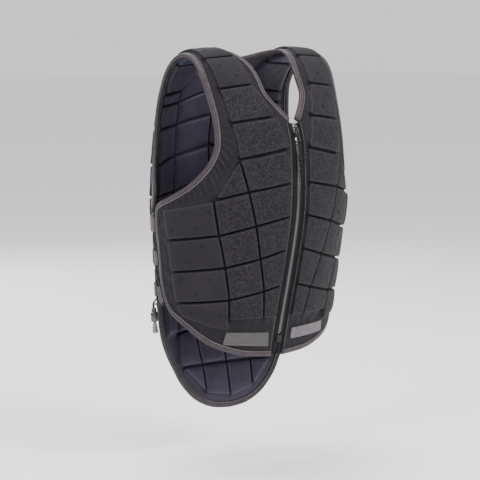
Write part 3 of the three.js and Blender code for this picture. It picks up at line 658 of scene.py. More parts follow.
class Panel:
    """One padded panel: a sewn skin with foam tiles that rise from it outside and inside."""

    INSETS = (0.0, 0.3, 0.7, 1.2, 1.8, 2.5)
    HOLE = 3.3
    HOLE_DEPTH = 1.1
    SEAM = 0.35
    GATHERED = 34.0
    FOLD = 10.5
    SMALL_FOLD = 6.3
    SLANT = 0.45
    FADE = 26.0

    def __init__(self, pattern: FlatPattern, name: str, outline: Array, tiles: list[Tile],
                 armholes: list[Array], holes: Array, seed: int) -> None:
        """Keeps what the panel is drawn from.

        Args:
            pattern: The flat pattern.
            name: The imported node's name.
            outline: The panel's edge, anticlockwise.
            tiles: The foam tiles.
            armholes: The edges that the cloth gathers along.
            holes: Flat places of the punched air holes.
            seed: Number of its chance relief.
        """
        self.pattern, self.name, self.outline, self.tiles = pattern, name, outline, tiles
        self.armholes, self.holes, self.seed = armholes, holes, seed

    def plan(self, relief: Relief) -> tuple[Array, Pairs]:
        """Sets out the flat points and the lines that the mesh keeps.

        Args:
            relief: The face that is drawn.

        Returns:
            The points and the pairs of points that stay joined. The outline comes first.
        """
        loops = [self.outline]
        for tile in self.tiles:
            loops += [tile.ring(d, 3.0) for d in self.INSETS]
        if relief.punched:
            turn = np.linspace(0, 2 * np.pi, 12, endpoint=False)
            circle = np.stack([np.cos(turn), np.sin(turn)], 1)
            loops += [hole + circle * r for hole in self.holes for r in (1.0, 2.1, self.HOLE)]
        points, lines = chained(loops)
        wide, fine = self.spots(3.6, np.inf, relief), self.spots(1.8, self.GATHERED, relief)
        wide = wide[(self.sunk(wide) > 0) | (self.from_armholes(wide) > self.GATHERED)]
        fine = fine[self.sunk(fine) < -1.0]
        return np.vstack([points, wide, fine]), lines

    def spots(self, pitch: float, reach: float, relief: Relief) -> Array:
        """Scatters free points over the panel, clear of its edge, its tiles' rims and its holes.

        Args:
            pitch: Distance from point to point.
            reach: How far from the armholes they go.
            relief: The face that is drawn.

        Returns:
            The points.
        """
        low, high = self.outline.min(0), self.outline.max(0)
        grid = np.stack(np.meshgrid(np.arange(low[0], high[0], pitch), np.arange(low[1], high[1], pitch * 0.86)), -1)
        grid[::2, :, 0] += pitch / 2
        loose = pitch * 0.08
        grid = grid.reshape(-1, 2) + np.random.default_rng(self.seed).uniform(-loose, loose, (grid.size // 2, 2))
        if np.isfinite(reach):
            grid = grid[self.from_armholes(grid) <= reach]
        grid = grid[depth_in(grid, self.outline) > 1.6]
        for tile in self.tiles:
            d = tile.depth(grid)
            grid = grid[(d < -1.0) | (d > self.INSETS[-1] + 1.2)]
        if relief.punched and len(self.holes):
            grid = grid[nearest_on(grid, self.holes)[1] > self.HOLE + 0.8]
        return grid

    def sunk(self, flat: Array) -> Array:
        """How far inside the nearest tile points lie, negative between the tiles."""
        return np.max([tile.depth(flat) for tile in self.tiles], axis=0)

    def from_armholes(self, flat: Array) -> Array:
        """How far points lie from the nearest armhole."""
        return np.min([nearest_on(flat, line)[1] for line in self.armholes], axis=0)

    def heights(self, flat: Array, relief: Relief) -> tuple[Array, dict[str, Array]]:
        """Works out how high the face stands, and what its finish needs to know.

        Args:
            flat: Flat points.
            relief: The face that is drawn.

        Returns:
            Heights over the lining face, and one list of marks for each name.
        """
        chance = np.random.default_rng(self.seed)
        edge = np.maximum(depth_in(flat, self.outline), 0)
        sunk = np.full(len(flat), -1e3)
        other = sunk.copy()
        height = np.full(len(flat), relief.skin)
        weave = np.zeros(len(flat))
        rim = np.zeros(len(flat))
        for tile in self.tiles:
            d = tile.depth(flat)
            inside = d > 0
            other = np.maximum(other, np.minimum(sunk, d))
            sunk = np.maximum(sunk, d)
            weave = np.where(d > -1.3, tile.weave.value, weave)
            tilt = chance.uniform(-0.5, 0.5, 2) / 30
            middle = tile.corners.mean(0)
            s = np.clip(d / relief.shoulder, 0, 1)
            wall = (1 - (1 - s) ** 2.3) ** (1 / 2.3)
            lean = ((flat - middle) @ tilt) * s
            dome = relief.crown * (1 - np.exp(-np.maximum(d - 1.0, 0) / 7))
            soft = 0.22 * ripples(flat, 17, self.seed + 7) * smooth(d, 1, 9)
            rise = (relief.face - relief.skin) * wall + dome
            sign = 1 if relief.outwards else -1
            height = np.where(inside, relief.skin + rise + sign * (lean + soft), height)
            # painted highlight along each tile's rounded shoulder
            rim = np.where(inside, np.exp(-((d - relief.shoulder * 0.55) / 0.9) ** 2), rim)
        free = smooth(-sunk, 1.5, 9) * smooth(edge, 0.5, 6)
        sign = 1 if relief.outwards else -1
        drawn = np.sum([self.gathers(flat, line) for line in self.armholes], axis=0)
        creases = 0.5 * ripples(flat, 21, self.seed + 3) + 0.3 * ripples(flat, 9, self.seed + 4) + 0.75 * drawn
        height = height + sign * relief.creased * creases * free * (sunk < 0)
        # the cover slants down on the sides where no other tile stands, instead of standing straight
        alone = smooth(-other, 4, 11) * smooth(edge, 1, 8)
        slant = (relief.face - relief.skin) * relief.skirt * smooth(-sunk, 9, -2.5) * alone
        lifted = relief.skin + slant
        height = np.where(sunk < 0, height + slant, np.where(sign * (lifted - height) > 0, lifted, height))
        seam = self.SEAM * smooth(-sunk, 2.4, 0.2) * smooth(edge, 0.5, 3) * (1 - alone)
        height = np.where(sunk < 0, height - sign * seam, height)
        # painted shade in the grooves between tiles and at the foot of each tile, weaker where a tile stands alone
        recess_shade = np.where(sunk < 0, smooth(-sunk, 4.5, 0.8), 0.85 * smooth(sunk, 1.5, 0.0)) * (1 - 0.7 * alone)
        # painted highlight on the crests of the drawn-up cloth and painted shade between them; on the outer cover all
        # the free cloth gets a lighter painted shade as well
        rim = np.where(sunk < 0, 1.1 * smooth(drawn, 0.1, 0.9) * free, rim)
        recess_shade = np.maximum(recess_shade, (0.75 * smooth(-drawn, 0.05, 0.8) + 0.34 * relief.punched) * free)
        hole = np.zeros(len(flat))
        if relief.punched and len(self.holes):
            hole = smooth(nearest_on(flat, self.holes)[1], self.HOLE, 0.6)
            height = height - self.HOLE_DEPTH * hole
        return height, {"recess_shade": recess_shade, "hole": hole, "weave": weave, "rim": rim}

    def gathers(self, flat: Array, line: Array) -> Array:
        """Folds that run in from a taped edge where it turns, and fade away.

        Args:
            flat: Flat points.
            line: The edge that the cloth gathers along.

        Returns:
            One value a point, from about -1 between folds to 1 on a crest.
        """
        fine = spaced(line, 1.0)
        step = np.diff(fine, axis=0)
        heading = np.unwrap(np.arctan2(step[:, 1], step[:, 0]))
        window = np.hanning(61)
        turn = np.convolve(np.abs(np.gradient(heading)), window / window.sum(), "same")
        tight = 0.2 + 0.8 * turn / turn.max()
        nearest, near = nearest_on(flat, fine)
        along = nearest + self.SLANT * near + 3 * ripples(flat, 60, self.seed + 5)
        fold = np.sin(along * 2 * np.pi / self.FOLD) + 0.45 * np.sin(along * 2 * np.pi / self.SMALL_FOLD + 1)
        return fold * tight[np.minimum(nearest, len(tight) - 1)] * np.exp(-near / self.FADE)

    def shell(self, relief: Relief) -> Shell:
        """Builds one face of the panel as a closed shell.

        Args:
            relief: The face that is drawn.

        Returns:
            The shell, with its flat pattern as UV.
        """
        points, lines = self.plan(relief)
        flat, faces, rim_of = meshed(points, lines)
        height, marks = self.heights(flat, relief)
        top = self.pattern.on_form(flat, height)
        # wide-set points keep the hidden side on the form's curve
        grid = lattice(self.outline, 9.0)
        coarse, loop = chained([self.outline])
        under, under_faces, under_of = meshed(np.vstack([coarse, grid[depth_in(grid, self.outline) > 3]]), loop)
        bottom = self.pattern.on_form(under, relief.back)
        count = len(flat)
        every = faces + [tuple(count + i for i in reversed(f)) for f in under_faces]
        for i, j in loop:
            every.append((rim_of[j], rim_of[i], count + under_of[i], count + under_of[j]))
        if not relief.outwards:
            every = [f[::-1] for f in every]
        marks = {k: np.concatenate([v, np.zeros(len(under))]) for k, v in marks.items()}
        uv = np.vstack([flat, under]) * MM
        return Shell(np.vstack([top, bottom]), every, uv, marks)


@dataclass
class Vest:
    """The vest's flat drawing: its edges and tiles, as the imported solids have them."""

    pattern: FlatPattern
    step: float = 3.2
    zip_gap: float = 12.8
    front_edge: dict[str, Rows] = field(default_factory=dict)
    back_edge: dict[str, Rows] = field(default_factory=dict)

    def __post_init__(self) -> None:
        """Fills in the edge tables."""
        beside = self.beside_zip
        self.front_edge = {
            "hem": [beside(-0.948), (24, -0.934), (37, -0.91), (50, -0.878), (61, -0.838), (71, -0.795), (81, -0.757)],
            "side": [(81, -0.757), (90, -0.727), (97.5, -0.677), (101.5, -0.6), (102.4, -0.49), (101.5, -0.33),
                     (98.5, -0.241)],
            "armhole": [(98.5, -0.241), (83.6, -0.207), (67.6, -0.147), (55.6, -0.066), (49.2, 0.024), (47.2, 0.116),
                        (46.4, 0.244), (46.1, 0.472), (45.6, 0.651), (44.4, 0.847), (43.4, 1)],
            "shoulder": [(43.4, 1), (22, 1)],
            "neck": [(22, 1), (18.8, 0.8), (16.2, 0.67), (15, 0.54), (14.6, 0.43), (13, 0.365), (9, 0.29),
                     beside(0.215)],
            "zip": [beside(v) for v in (0.215, -0.1, -0.4, -0.7, -0.948)],
        }
        self.back_edge = {
            "neck": [(180, 0.71), (172, 0.73), (166, 0.79), (161, 0.89), (158, 1)],
            "shoulder": [(158, 1), (136.6, 1)],
            "armhole": [(136.6, 1), (136, 0.77), (135, 0.6), (134, 0.474), (131.5, 0.339), (129, 0.197), (126, 0.065),
                        (121, -0.04), (114, -0.12), (109.5, -0.16)],
            "side": [(109.5, -0.16), (110, -0.19), (117, -0.22), (124.5, -0.25), (127, -0.32), (128, -0.5),
                     (127, -0.83)],
            "tail": [(127, -0.83), (128.5, -0.88), (133, -0.945), (140.5, -1.045), (145, -1.11), (152, -1.175),
                     (159, -1.215), (168, -1.242), (180, -1.252)],
        }

    def beside_zip(self, level: float) -> tuple[float, float]:
        """A front panel's edge beside the zip tapes at a level."""
        reach = self.zip_gap / self.pattern.form.half_width(np.array([level]))[0]
        return math.degrees(math.asin(reach)), level

    def edge(self, table: dict[str, Rows], name: str) -> Array:
        """One named edge as flat points."""
        return self.pattern.curve(table[name], self.step)

    def front_lines(self) -> dict[str, Array]:
        """The left front panel's edges, with its two outer corners rounded."""
        return self.softened({n: self.edge(self.front_edge, n) for n in self.front_edge}, ("hem", "side"))

    def back_lines(self) -> dict[str, Array]:
        """Draws the back panel's edges on the left and then, mirrored, on the right.

        Returns:
            Flat lines by name, in order round the panel.
        """
        left = {n: self.edge(self.back_edge, n) for n in self.back_edge}
        full = 2 * self.pattern.arcs[-1]
        lines = {n + "_left": v for n, v in left.items()}
        for n in reversed(list(left)):
            lines[n + "_right"] = (left[n] * np.array([-1, 1]) + np.array([full, 0]))[::-1]
        return self.softened(lines, ("armhole_left", "side_left", "tail_right", "side_right"))

    def softened(self, lines: dict[str, Array], ends: tuple[str, ...]) -> dict[str, Array]:
        """Rounds the corners at the far ends of some edges.

        Args:
            lines: Edges that follow each other round the panel.
            ends: Names of the edges whose last point is a corner to round.

        Returns:
            The same edges, still joined.
        """
        names = list(lines)
        for name in ends:
            after = names[(names.index(name) + 1) % len(names)]
            a, b = lines[name].copy(), lines[after].copy()
            both = np.vstack([a, b[1:]])
            corner = len(a) - 1
            for _ in range(5):
                for i in range(max(corner - 3, 1), min(corner + 4, len(both) - 1)):
                    both[i] = both[i] / 2 + (both[i - 1] + both[i + 1]) / 4
            lines[name], lines[after] = both[:corner + 1], both[corner:]
        return lines

    def tile(self, corners: Rows, weave: Weave) -> Tile:
        """Makes a tile, with its corners anticlockwise.

        Args:
            corners: Angle and level of each corner.
            weave: The mesh over it.

        Returns:
            The tile.
        """
        flat = self.pattern.lay(np.array(corners, float))
        turned = (flat * np.roll(flat, -1, 0)[:, ::-1] * np.array([1, -1])).sum()
        return Tile(flat if turned > 0 else flat[::-1], weave)

    def front_tiles(self) -> list[Tile]:
        """Sets out the left front panel's tiles.

        Returns:
            Its strap tiles, the chest's rows and the two cut tiles.
        """
        rows = {
            "S0": [(24, 0.992), (41.5, 0.992)], "S1": [(20.8, 0.772), (42, 0.775)], "S2": [(19.6, 0.481), (41, 0.464)],
            "A": [(12.4, 0.242), (39.8, 0.214)], "B": [(6.3, 0.052), (36.9, -0.004)],
            "C": [(5.8, -0.123), (31.8, -0.158), (52.3, -0.194), (89, -0.246)],
            "D": [(5.8, -0.277), (27, -0.316), (49.2, -0.357), (87.5, -0.386)],
            "E": [(5.8, -0.435), (23.1, -0.475), (45, -0.513), (86, -0.542)],
            "F": [(5.8, -0.61), (17.9, -0.634), (40.7, -0.671), (82.5, -0.692)],
            "G": [(5.8, -0.772), (15.3, -0.774), (39.5, -0.77)], "H": [(39.5, -0.822), (53.6, -0.806), (77, -0.757)],
        }
        plain = [("S0", "S1", 0), ("S1", "S2", 0), ("S2", "A", 0), ("A", "B", 0), ("B", "C", 0),
                 *[(u, d, i) for u, d in (("C", "D"), ("D", "E"), ("E", "F")) for i in range(3)], ("F", "G", 0),
                 ("F", "G", 1)]
        tiles = []
        for up, down, i in plain:
            coarse = up not in ("S0", "S1") and not (up in "CDE" and i == 2)
            quad = [rows[down][i], rows[down][i + 1], rows[up][i + 1], rows[up][i]]
            tiles.append(self.tile(quad, Weave.COARSE if coarse else Weave.FINE))
        tiles.append(self.tile([rows["C"][1], rows["C"][2], rows["B"][1]], Weave.COARSE))
        tiles.append(self.tile([*rows["H"], rows["F"][3], rows["F"][2]], Weave.FINE))
        return tiles

    def back_tiles(self) -> list[Tile]:
        """Sets out the back panel's tiles.

        Returns:
            The tiles on the left and then, mirrored, on the right.
        """
        c = {
            "S0": [(156, 0.992), (138.2, 0.992)], "S1": [(158, 0.75), (137.6, 0.75)],
            "A": [(180, 0.64), (160, 0.6), (151, 0.444), (135.8, 0.42)], "B": [(180, 0.46), (151, 0.35), (133.5, 0.33)],
            "C": [(180, 0.25), (151, 0.19), (130.5, 0.165)], "D": [(180, 0.04), (150.5, -0.015), (124, -0.055)],
            "E": [(180, -0.14), (150, -0.19), (125, -0.21)], "F": [(180, -0.32), (149.5, -0.36), (131, -0.385)],
            "G": [(180, -0.5), (149, -0.53), (131.5, -0.555)], "H": [(180, -0.68), (148.5, -0.7), (131.5, -0.72)],
            "I": [(180, -0.86), (159, -0.872), (146, -0.885), (132.5, -0.89)],
            "J": [(180, -1.05), (160.5, -1.05), (143.5, -1.05)], "K": [(180, -1.225), (161, -1.195)],
        }

        def quad(up: str, down: str, i: int) -> Rows:
            """Four corners between two rows."""
            return [c[down][i + 1], c[down][i], c[up][i], c[up][i + 1]]

        shapes = [quad("S0", "S1", 0), [c["A"][3], c["A"][2], c["A"][1], c["S1"][0], c["S1"][1]],
                  [c["B"][1], c["B"][0], c["A"][0], c["A"][1], c["A"][2]], [c["B"][2], c["B"][1], c["A"][2], c["A"][3]],
                  *[quad(u, d, i) for u, d in ("BC", "CD", "DE", "EF", "FG", "GH") for i in range(2)],
                  [c["I"][1], c["I"][0], c["H"][0], c["H"][1]], [c["I"][2], c["I"][1], c["H"][1]],
                  [c["I"][3], c["I"][2], c["H"][1], c["H"][2]], quad("I", "J", 0), quad("I", "J", 1), quad("J", "K", 0),
                  [c["K"][1], c["J"][2], c["J"][1]]]
        mirrored = [[(360 - angle, level) for angle, level in shape] for shape in shapes]
        return [self.tile(shape, Weave.FINE) for shape in shapes + mirrored]

    def front_holes(self) -> Array:
        """Places the punched air holes of the left front panel.

        Returns:
            Their flat places.
        """
        places = [(37, 0.87), (29, 0.84), (34.9, 0.664), (27.5, 0.556), (30.6, 0.377), (24, 0.294), (32.7, 0.157),
                  (18.7, 0.171), (26.2, -0.038), (12.3, -0.018), (19.1, -0.091), (41.1, -0.122), (24.7, -0.196),
                  (11.1, -0.159), (16.2, -0.247), (42.5, -0.231), (34.1, -0.278), (72, -0.265), (55.6, -0.249),
                  (62.7, -0.32), (81.2, -0.336), (8.9, -0.324), (21.3, -0.356), (13.3, -0.405), (39, -0.389),
                  (29.7, -0.44), (60.1, -0.41), (80.3, -0.431), (69.1, -0.484), (10.5, -0.5), (18, -0.57),
                  (37.5, -0.54), (27.5, -0.6), (76, -0.572), (56, -0.567), (64.5, -0.645), (51, -0.632),
                  (10, -0.665), (34.5, -0.7), (23, -0.742), (47, -0.745), (68.5, -0.735)]
        return self.pattern.lay(np.array(places))

    def holes(self, tiles: list[Tile]) -> Array:
        """Punched air holes, set diagonally on each tile.

        Args:
            tiles: The tiles that carry them.

        Returns:
            Flat places of the holes.
        """
        found = []
        for tile in tiles:
            low, high = tile.corners.min(0), tile.corners.max(0)
            spots = [(0.3, 0.7), (0.72, 0.74), (0.5, 0.3)] if len(tile.corners) == 4 else [(0.5, 0.62)]
            for u, v in spots:
                spot = low + (high - low) * np.array([u, v])
                if tile.depth(spot[None])[0] > 6.5:
                    found.append(spot)
        return np.array(found)


# ---------------------------------------------------------------- tapes, zip, lacing and labels

MIDDLE = 10.0


def rounded_bar(inner: float, outer: float, low: float, high: float, radius: float, steps: int = 4) -> Array:
    """A section with a flat inner side and a rounded outer side.

    Args:
        inner: Aside of the flat side.
        outer: Aside of the rounded side.
        low: Lowest height.
        high: Highest height.
        radius: Rounding of the outer side.
        steps: Points on each rounded corner.

    Returns:
        Rows of aside and height.
    """
    section = [(inner, high - 0.5), (inner + 0.5, high), ((inner + outer) / 2, high + 0.25)]
    for k in range(steps + 1):
        a = math.pi / 2 * (1 - k / steps)
        section.append((outer - radius + radius * math.cos(a), high - radius + radius * math.sin(a)))
    for k in range(steps + 1):
        a = -math.pi / 2 * k / steps
        section.append((outer - radius + radius * math.cos(a), low + radius + radius * math.sin(a)))
    section += [((inner + outer) / 2, low - 0.25), (inner + 0.5, low), (inner, low + 0.5)]
    return np.array(section)


@dataclass
class EdgeTapes:
    """Ribbed tape folded over the panels' edges, with a stitched row near its inner side."""

    vest: Vest
    width: float = 9.0
    overlap: float = 1.2
    thick: float = 6.6
    pitch: float = 4.6
    stitch: Triple = (3.0, 1.1, 0.6)

    def rails(self) -> dict[str, Rail]:
        """Lays the four tapes' rails along the panels' edges.

        Returns:
            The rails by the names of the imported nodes.
        """
        front, back, pattern = self.vest.front_lines(), self.vest.back_lines(), self.vest.pattern
        left = Rail.over(pattern, [front["hem"], front["side"], front["armhole"], back["armhole_left"],
                                   back["side_left"]], MIDDLE)
        half = Rail.over(pattern, [back["neck_left"], front["neck"]], MIDDLE)
        tail = Rail.over(pattern, [back["tail_left"], back["tail_right"]], MIDDLE)
        mirror = np.array([-1, 1, 1])
        right = Rail(left.points[::-1] * mirror, left.normals[::-1] * mirror)
        neck = Rail(np.vstack([half.points[:0:-1] * mirror, half.points]),
                    np.vstack([half.normals[:0:-1] * mirror, half.normals]))
        return {"binding_left": left, "binding_right": right, "binding_neck": neck, "binding_tail": tail}

    def build(self, tape: Material, thread: Material) -> None:
        """Makes the tapes and their stitches.

        Args:
            tape: The tapes' finish.
            thread: The stitches' finish.
        """
        half = self.thick / 2
        section = rounded_bar(-self.overlap, self.width, -half, half, 2.4)
        for name, rail in self.rails().items():
            dress(rail.sweep(section).piece(name.replace("binding", "tape"), tape), "edge_tape", name)
            rows = [rail.dashes(-self.overlap + 1.4, side * (half + 0.25), self.pitch, self.stitch) for side in (1, -1)]
            rows[1].faces = [f[::-1] for f in rows[1].faces]
            dress(rows[0].joined(rows[1]).piece(name.replace("binding", "stitches"), thread), "edge_tape")

    def build_zip_seams(self, thread: Material) -> None:
        """Sews the row that holds each front's cover beside the zip.

        Args:
            thread: The stitches' finish.
        """
        rail = Rail.over(self.vest.pattern, [self.vest.front_lines()["zip"]], MIDDLE)
        seam = rail.dashes(-2.5, 2.3, self.pitch, self.stitch)
        for side, row in (("left", seam), ("right", seam.mirrored())):
            dress(row.piece(f"zip_seam_{side}", thread), "edge_tape")


def frame_on(pattern: FlatPattern, angle: float, level: float, height: float) -> Matrix:
    """Finds a frame on the form: x to the wearer's left, y up along the form, z outwards.

    Args:
        pattern: The flat pattern.
        angle: Degrees round the body.
        level: The level.
        height: Millimetres over the lining face.

    Returns:
        The frame, in metres.
    """
    angles, levels = np.full(3, float(angle)), np.array([level, level + 0.01, level - 0.01], float)
    spots = pattern.form.lining(angles, levels)
    normal = Vector(pattern.form.normal(angles[:1], levels[:1])[0])
    up = Vector(spots[1] - spots[2]).normalized()
    left = up.cross(normal).normalized()
    up = normal.cross(left)
    spot = Vector(spots[0]) + normal * height
    turned = Matrix((left, up, normal)).transposed().to_4x4()
    return Matrix.Translation(spot * MM) @ turned


class Bench:
    """Modelling by hand: primitives that are shaped in edit mode, with sizes in millimetres."""

    @staticmethod
    def clear() -> None:
        """Deselects everything."""
        bpy.ops.object.select_all(action="DESELECT")

    @staticmethod
    def block(size: Triple, centre: Triple, bevel: float, taper: float = 1.0,
              segments: int = 3) -> Object:
        """A block with rounded edges.

        Args:
            size: Its three sizes.
            centre: Its middle.
            bevel: Width of the rounding.
            taper: Share of its width that is left at its low end in y.
            segments: Facets across the rounding.

        Returns:
            The block.
        """
        Bench.clear()
        bpy.ops.mesh.primitive_cube_add(size=1, location=Vector(centre) * MM)
        block = bpy.context.active_object
        block.scale = Vector(size) * MM
        bpy.ops.object.transform_apply(location=True, rotation=True, scale=True)
        for v in block.data.vertices:
            if v.co.y < centre[1] * MM:
                v.co.x = centre[0] * MM + (v.co.x - centre[0] * MM) * taper
        bpy.ops.object.mode_set(mode="EDIT")
        bpy.ops.mesh.select_all(action="SELECT")
        bpy.ops.mesh.bevel(offset=bevel * MM, segments=segments, affect="EDGES")
        bpy.ops.object.mode_set(mode="OBJECT")
        return block

    @staticmethod
    def turned(profile: Rows, sides: int) -> Object:
        """A turned piece about its local y.

        Args:
            profile: Radius and height rows from the bottom up, the first and last on the axis.
            sides: Facets round it.

        Returns:
            The piece.
        """
        Bench.clear()
        low, high = profile[1], profile[-2]
        bpy.ops.mesh.primitive_cylinder_add(vertices=sides, radius=low[0] * MM, depth=1 * MM, end_fill_type="NGON",
                                            rotation=(-math.pi / 2, 0, 0), location=(0, (low[1] - 0.5) * MM, 0))
        piece = bpy.context.active_object
        bpy.ops.object.transform_apply(location=True, rotation=True, scale=True)
        bpy.ops.object.mode_set(mode="EDIT")
        bpy.ops.mesh.select_mode(type="FACE")
        bpy.ops.mesh.select_all(action="DESELECT")
        bpy.ops.object.mode_set(mode="OBJECT")
        cap = max((f.normal.y, f.index) for f in piece.data.polygons)[1]
        piece.data.polygons[cap].select = True
        bpy.ops.object.mode_set(mode="EDIT")
        bpy.ops.transform.translate(value=(0, 0.5 * MM, 0))
        before = low
        for radius, height in profile[2:-1]:
            bpy.ops.mesh.extrude_region_move(TRANSFORM_OT_translate={"value": (0, (height - before[1]) * MM, 0)})
            share = radius / before[0]
            bpy.ops.transform.resize(value=(share, 1, share))
            before = (radius, height)
        bpy.ops.object.mode_set(mode="OBJECT")
        for v in piece.data.vertices:
            if v.co.y < (low[1] - 0.2) * MM:
                v.co.y = low[1] * MM
        bpy.ops.object.mode_set(mode="EDIT")
        bpy.ops.mesh.select_all(action="SELECT")
        bpy.ops.mesh.remove_doubles(threshold=1e-6)
        bpy.ops.mesh.normals_make_consistent(inside=False)
        bpy.ops.object.mode_set(mode="OBJECT")
        return piece

    @staticmethod
    def ring(major: float, minor: float, centre: Triple, stretch: float = 0.0,
             turned: Triple = (0, 0, 0)) -> Object:
        """A wire ring, flat in x and y, drawn out downwards into a long link.

        Args:
            major: Radius to the wire's middle.
            minor: Radius of the wire.
            centre: Middle of its upper bow.
            stretch: How far its lower bow is drawn down.
            turned: Turn about the axes before it is placed.

        Returns:
            The ring.
        """
        Bench.clear()
        bpy.ops.mesh.primitive_torus_add(major_radius=major * MM, minor_radius=minor * MM, major_segments=28,
                                         minor_segments=10, location=(0, 0, 0))
        ring = bpy.context.active_object
        for v in ring.data.vertices:
            if v.co.y < -1e-6:
                v.co.y -= stretch * MM
        ring.rotation_euler = turned
        ring.location = Vector(centre) * MM
        bpy.ops.object.transform_apply(location=True, rotation=True, scale=True)
        return ring

    @staticmethod
    def joined(name: str, parts: list[Object], place: Matrix, finish: Material) -> Object:
        """Joins parts into one smooth-shaded piece and puts it in place.

        Args:
            name: The piece's name.
            parts: What it is joined from.
            place: Its frame.
            finish: Its material.

        Returns:
            The piece, at the origin with its place in its mesh.
        """
        Bench.clear()
        for part in parts:
            part.select_set(True)
        bpy.context.view_layer.objects.active = parts[0]
        bpy.ops.object.join()
        piece = bpy.context.active_object
        piece.name = piece.data.name = name
        piece.data.transform(place)
        piece.data.materials.clear()
        piece.data.materials.append(finish)
        bpy.ops.object.shade_smooth_by_angle(angle=math.radians(40))
        Bench.clear()
        return piece


